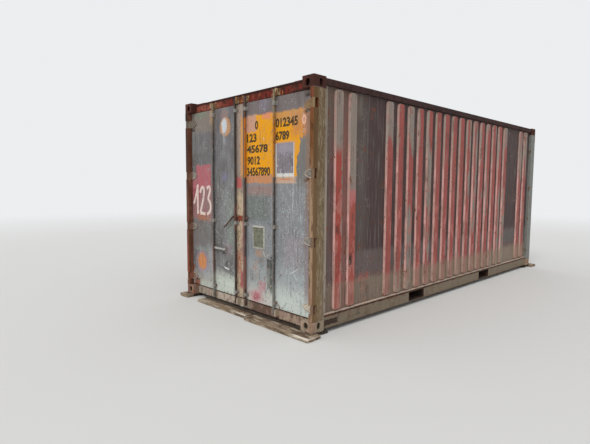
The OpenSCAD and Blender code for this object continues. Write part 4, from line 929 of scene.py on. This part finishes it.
class CONTAINER_OT_fixings(bpy.types.Operator):
    """Bolts the bar guides, presses studs and ribs on the hinges, and adds welds and a mending plate"""
    bl_idname = "container.fixings"
    bl_label = "Set bolts, ribs and welds"

    def bolt(self, x):
        """Models a washer and a six-sided head on a face at x."""
        sizes = bpy.context.scene.container_sizes
        clear()
        parts = []
        for sides, radius, thick, middle in (
                (16, sizes.washer, 0.002, 0.001), (6, sizes.head, 0.005, 0.0045)):
            bpy.ops.mesh.primitive_cylinder_add(vertices=sides, radius=radius, depth=thick,
                                                location=(x - middle, 0, 0), rotation=(0, -math.pi / 2, 0))
            parts.append(bpy.context.object)
        bpy.ops.object.transform_apply(location=False, rotation=True, scale=False)
        facing_faces(parts[1], (-1, 0, 0))
        bpy.ops.mesh.bevel(offset=0.0012, segments=2, affect="EDGES")
        mode("OBJECT")
        return join(parts, "bolt")

    def execute(self, context):
        # Zinc-plated bolts gone to rust: brown with grey left on some.
        steel = rusted("rusted_bolt_heads", "5a4438", "7a5a44", "8f6a4a", 22.0, "8c867c", 0.5, relief=0.3)
        # Enamel rubbed thin on the pressed ribs, and a painted highlight along them: the palest tan of the
        # doors, darker on the top hinges.
        ribs = rusted("pale_paint_and_highlight_on_hinge_ribs", "b0a08e", "c8b8a6", "d8c8b4", 24.0, "a09080", 0.3,
                      relief=0.2, extra=[at("83786c", 1.0, 2.1, FAR, FAR, 0.1),
                                         at("a8825e", -FAR, 2.1, -1.0, FAR, 0.1)])
        # Weld metal under thin enamel: lumpy, brown with grey remains.
        bead = rusted("painted_weld_bead", "5a4236", "6f5240", "84604a", 23.0, "7c7468", 0.5, relief=1.0)
        edge = ((1.142, 0.043, 1.0), (1.127, 0.043, 1.0), (1.103, 0.040, 0.95), (1.079, 0.033, 0.9),
                (1.056, 0.020, 0.8), (1.036, 0.004, 0.6))
        hinges = [(0, 0, z) for z in HINGE_Z]
        for side, sign, bars in (("left", 1, BAR_Y[:2]), ("right", -1, BAR_Y[2:])):
            spots = [(0, y + dy, z) for y in bars for z in GUIDE_Z for dy in (-0.0295, 0.0295)]
            heads = copies(self.bolt(FOOT_X), spots)
            studs = [rivet(BLADE_X, sign * y, z, 0.006)
                     for y, z in ((1.118, 0.022), (1.118, -0.022), (1.085, 0))]
            heads += copies(join(studs, "studs"), hinges)
            finish(join(heads, f"{side}_door_bolts"), f"{side}_door", steel)
            pair = [cord([(BLADE_X, sign * y, up * z, share) for y, z, share in edge], 0.0045)
                    for up in (-1, 1)]
            pressed = join(copies(join(pair, "rib"), hinges), f"{side}_hinge_ribs")
            finish(pressed, f"{side}_door", ribs, 60)
        welds = []
        for x, y in ((-1, -1), (-1, 1), (1, -1), (1, 1)):
            line = ((3.026, 1.166), (3.026, 1.2), (3.026, 1.217), (3.0, 1.217), (2.855, 1.217))
            weld = cord([(x * a, y * b, 0, 1) for a, b in line], 0.003)
            welds += copies(weld, [(0, 0, z) for z in POST_ENDS])
        finish(join(welds, "corner_weld_beads"), "container", bead, 60)
        # A small steel plate, riveted over a mend in the door skin: painted red once, brick red with rust.
        plate = eased_block((SKIN_X - 0.006, 0.015, 1.12), (SKIN_X + 0.0005, 0.105, 1.18), 0.002)
        rivets = [rivet(SKIN_X - 0.0055, y, z, 0.006) for y in (0.027, 0.093) for z in (1.132, 1.168)]
        mend = join([plate, *rivets], "mending_plate")
        red = rusted("red_rusted_plate", "7a3c2c", "94503a", "a8644a", 25.0)
        finish(mend, "left_door", red)
        return {"FINISHED"}


class CONTAINER_OT_plate(bpy.types.Operator):
    """Rivets a plain plate with a raised rim on the right door"""
    bl_idname = "container.plate"
    bl_label = "Fix the plain plate"

    def execute(self, context):
        plate = eased_block((SKIN_X - 0.004, -0.40, 0.81), (SKIN_X + 0.0005, -0.18, 1.08), 0.0012)
        facing_faces(plate, (-1, 0, 0))
        bpy.ops.mesh.inset(thickness=0.02)
        bpy.ops.mesh.inset(thickness=0.004, depth=-0.0025)
        mode("OBJECT")
        rivets = copies(rivet(SKIN_X - 0.0035, 0, 0, 0.005),
                        [(0, y, z) for y in (-0.392, -0.188) for z in (0.818, 0.945, 1.072)])
        piece = join([plate, *rivets], "plain_door_plate")
        # Anodised sheet gone olive under grime, with a paler rim.
        material, tree, place, cloud = surface("grimed_aluminium_plate")
        grime = cloud(0.06, 0.4, 0.62, (1, 1, 0.6), 2.0)
        fine = cloud(0.01, 0.45, 0.65, (1, 2, 1), 3.0, 0.5)
        inner = patch(tree, place, (-0.379, 0.831, -0.201, 1.059), edge=0.004)
        rows = cloud(0.012, 0.5, 0.6, (1, 6, 1), 5.0, 0.6)
        layers = [("c4c2b8", grime), ("7c7c6a", inner), ("66685a", inner, grime), ("8f8c7c", inner, rows),
                  ("8d8a74", fine)]
        close(tree, "a9a9a0", layers, 0.55, [(fine, 0.15), (grime, 0.2), (rows, 0.1)], 0.3)
        finish(piece, "right_door", material)
        return {"FINISHED"}


class CONTAINER_OT_numerals(bpy.types.Operator):
    """Stencils rows of plain digits on the yellow field"""
    bl_idname = "container.numerals"
    bl_label = "Stencil the numerals"

    def row(self, digits, box):
        """Models digits as a thin coat that fills a box, measured as the patches of the doors are."""
        clear()
        bpy.ops.object.text_add(rotation=(math.pi / 2, 0, -math.pi / 2))
        text = bpy.context.object
        text.data.body = digits
        text.data.offset = 0.042
        text.data.extrude = 0.02
        text.data.resolution_u = 3
        bpy.ops.object.convert(target="MESH")
        bpy.ops.object.transform_apply(location=True, rotation=True, scale=True)
        piece = bpy.context.object
        low = Vector(map(min, *(v.co for v in piece.data.vertices)))
        high = Vector(map(max, *(v.co for v in piece.data.vertices)))
        x0, z0, x1, z1 = box
        piece.scale = (0.0008 / (high.x - low.x), (x1 - x0) / (high.y - low.y), (z1 - z0) / (high.z - low.z))
        piece.location = (SKIN_X - 0.0006 - piece.scale.x * low.x, -x0 - piece.scale.y * high.y,
                          z0 + TIMBER - piece.scale.z * low.z)
        return piece

    def execute(self, context):
        stock = context.scene.container_sizes.numerals * 4
        boxes = ((0.58, 2.13, 0.93, 2.23, 6), (0.58, 1.99, 0.80, 2.09, 4), (0.22, 2.14, 0.28, 2.24, 1),
                 (0.07, 2.0, 0.25, 2.1, 3), (0.07, 1.875, 0.45, 1.97, 5), (0.08, 1.74, 0.31, 1.84, 4),
                 (0.07, 1.61, 0.49, 1.715, 8))
        dark, used = [], 0
        for *box, count in boxes:
            dark.append(self.row(stock[used:used + count], box))
            used += count
        pale = [self.row("0", (0.99, 2.13, 1.05, 2.23))]
        # Stencil paint: dark brown, thin, with the yellow coming through where it wore. The pale numeral is
        # a dusty pink, with the orange under it coming through.
        for name, pieces, finish_name, colour, worn, dusty in (
                ("plain_numerals", dark, "worn_brown_stencil_paint", "41321f", "a87c34", "6d5a3a"),
                ("pale_numeral", pale, "faded_pink_stencil_paint", "e8c4b4", "d88a50", "d88a50")):
            material, tree, place, cloud = surface(finish_name)
            thin = cloud(0.02, 0.55, 0.68, (1, 1, 1.6), 3.0, 0.6)
            fine = cloud(0.006, 0.4, 0.6, seed=1.0, top=0.5)
            close(tree, colour, [(worn, thin), (dusty, fine)], 0.7, [(fine, 0.05)])
            finish(join(pieces, name), "right_door", material)
        return {"FINISHED"}


class CONTAINER_OT_brushed(bpy.types.Operator):
    """Brushes large digits by hand on the red field"""
    bl_idname = "container.brushed"
    bl_label = "Brush the digits"

    def execute(self, context):
        strokes = [[(-1.128, 1.25), (-1.06, 1.36), (-1.025, 1.50)],
                   [(-1.025, 1.51), (-1.03, 1.3), (-1.025, 1.11)],
                   [(-0.965, 1.40), (-0.93, 1.49), (-0.865, 1.46), (-0.875, 1.34), (-0.965, 1.13)],
                   [(-0.968, 1.125), (-0.91, 1.13), (-0.84, 1.12)],
                   [(-0.80, 1.46), (-0.74, 1.50), (-0.712, 1.43), (-0.775, 1.325)],
                   [(-0.775, 1.33), (-0.705, 1.27), (-0.72, 1.14), (-0.80, 1.12)]]
        pieces = []
        for points in strokes:
            line = [(0, -x, z + TIMBER, 1.0 - 0.12 * (k % 2)) for k, (x, z) in enumerate(points)]
            path = cord(line, 0.0215)
            path.scale = (0.02, 1, 1)
            path.location.x = SKIN_X - 0.0003
            pieces.append(path)
        piece = join(pieces, "brushed_digits")
        # Household paint laid on by brush: cream white, thin at the ends, primer showing in the bristle
        # lines, which are drawn 5 mm wide so that they show.
        material, tree, place, cloud = surface("brushed_white_paint")
        bristle = cloud(0.005, 0.5, 0.68, (1, 1, 14), 3.0, 0.7)
        thin = cloud(0.04, 0.55, 0.68, seed=5.0, top=0.6)
        close(tree, "e4d0c6", [("c08e88", bristle), ("b0807c", thin)], 0.6, [(bristle, -0.2)])
        finish(piece, "left_door", material, 60)
        return {"FINISHED"}


class CONTAINER_OT_stage(bpy.types.Operator):
    """Sets the pale floor, the soft light and the camera"""
    bl_idname = "container.stage"
    bl_label = "Set the stage"

    def execute(self, context):
        stage = context.scene.container_stage
        clear()
        bpy.ops.mesh.primitive_circle_add(vertices=64, radius=60, fill_type="NGON")
        floor = bpy.context.object
        floor.name = "studio_floor"
        # Matt painted floor: a warm pale grey that turns to the sky's pale tone from 7 to 22 m out.
        material, tree, place = surface("pale_studio_floor")[:3]
        reach = add(tree, "VectorMath", {0: place}, operation="LENGTH").outputs["Value"]
        far = add(tree, "MapRange", {"Value": reach, "From Min": 7.0, "From Max": 22.0},
                  interpolation_type="SMOOTHSTEP")
        ray = add(tree, "LightPath").outputs["Is Camera Ray"]
        seen = add(tree, "Math", {0: far, 1: ray}, operation="MULTIPLY")
        matt = add(tree, "BsdfDiffuse", {"Color": "d9d8d5"})
        glow = add(tree, "Emission", {"Color": "eceef0", "Strength": 1.0})
        add(tree, "OutputMaterial", {"Surface": add(tree, "MixShader", {0: seen, 1: matt, 2: glow})})
        floor.data.materials.append(material)

        world = bpy.data.worlds.new("studio_sky")
        context.scene.world = world
        world.use_nodes = True
        tree = world.node_tree
        tree.nodes.clear()
        ray = add(tree, "LightPath").outputs
        seen = add(tree, "Math", {0: ray["Is Camera Ray"], 1: ray["Is Glossy Ray"]}, operation="MAXIMUM")
        seen = add(tree, "Math", {0: seen, 1: ray["Is Transmission Ray"]}, operation="MAXIMUM")
        light = add(tree, "Background", {"Color": "f6f8fa", "Strength": stage.sky})
        back = add(tree, "Background", {"Color": "eceef0", "Strength": 1.0})
        add(tree, "OutputWorld", {"Surface": add(tree, "MixShader", {0: seen, 1: light, 2: back})})

        clear()
        bpy.ops.object.light_add(type="SUN", rotation=Euler((math.radians(40), 0, math.radians(-65))))
        lamp = bpy.context.object
        lamp.name = "soft_lamp"
        lamp.data.energy = stage.sun
        lamp.data.angle = math.radians(30)

        # The camera stands off the door end's right corner, at eye height, and leans a third of a degree.
        clear()
        bpy.ops.object.camera_add(location=(-6.204, -4.294, 1.556))
        camera = bpy.context.object
        forward = Vector((0.68769523, 0.72120191, -0.08332509)).normalized()
        right = forward.cross(Vector((0, 0, 1))).normalized()
        up, roll = right.cross(forward), math.radians(0.351)
        side = math.cos(roll) * right + math.sin(roll) * up
        top = -math.sin(roll) * right + math.cos(roll) * up
        camera.rotation_euler = Matrix((side, top, -forward)).transposed().to_euler()
        camera.data.sensor_width = 36
        camera.data.lens = stage.lens
        context.scene.camera = camera
        context.scene.view_settings.view_transform = "Standard"
        return {"FINISHED"}


STEPS = (CONTAINER_OT_doors, CONTAINER_OT_shell, CONTAINER_OT_gear, CONTAINER_OT_floor, CONTAINER_OT_timbers,
         CONTAINER_OT_fixings, CONTAINER_OT_plate, CONTAINER_OT_numerals, CONTAINER_OT_brushed,
         CONTAINER_OT_stage)


class CONTAINER_PT_panel(bpy.types.Panel):
    """Lists the steps that dress the container, with their colours and sizes"""
    bl_label = "Freight Container"
    bl_idname = "CONTAINER_PT_panel"
    bl_space_type = "VIEW_3D"
    bl_region_type = "UI"
    bl_category = "Container"

    def draw(self, context):
        scene = context.scene
        for group in (scene.container_look, scene.container_sizes, scene.container_stage):
            for name in group.__annotations__:
                self.layout.prop(group, name)
        for step in STEPS:
            self.layout.operator(step.bl_idname)


CLASSES = (ContainerLook, ContainerSizes, ContainerStage, *STEPS, CONTAINER_PT_panel)


def register():
    """Registers the classes and hangs their settings on the scene."""
    for cls in CLASSES:
        bpy.utils.register_class(cls)
    bpy.types.Scene.container_look = PointerProperty(type=ContainerLook)
    bpy.types.Scene.container_sizes = PointerProperty(type=ContainerSizes)
    bpy.types.Scene.container_stage = PointerProperty(type=ContainerStage)


def unregister():
    """Takes the settings and classes away again."""
    del bpy.types.Scene.container_look
    del bpy.types.Scene.container_sizes
    del bpy.types.Scene.container_stage
    for cls in reversed(CLASSES):
        bpy.utils.unregister_class(cls)


def main():
    """Runs the steps in order."""
    register()
    for step in STEPS:
        group, name = step.bl_idname.split(".")
        getattr(getattr(bpy.ops, group), name)()


if __name__ == "__main__":
    main()
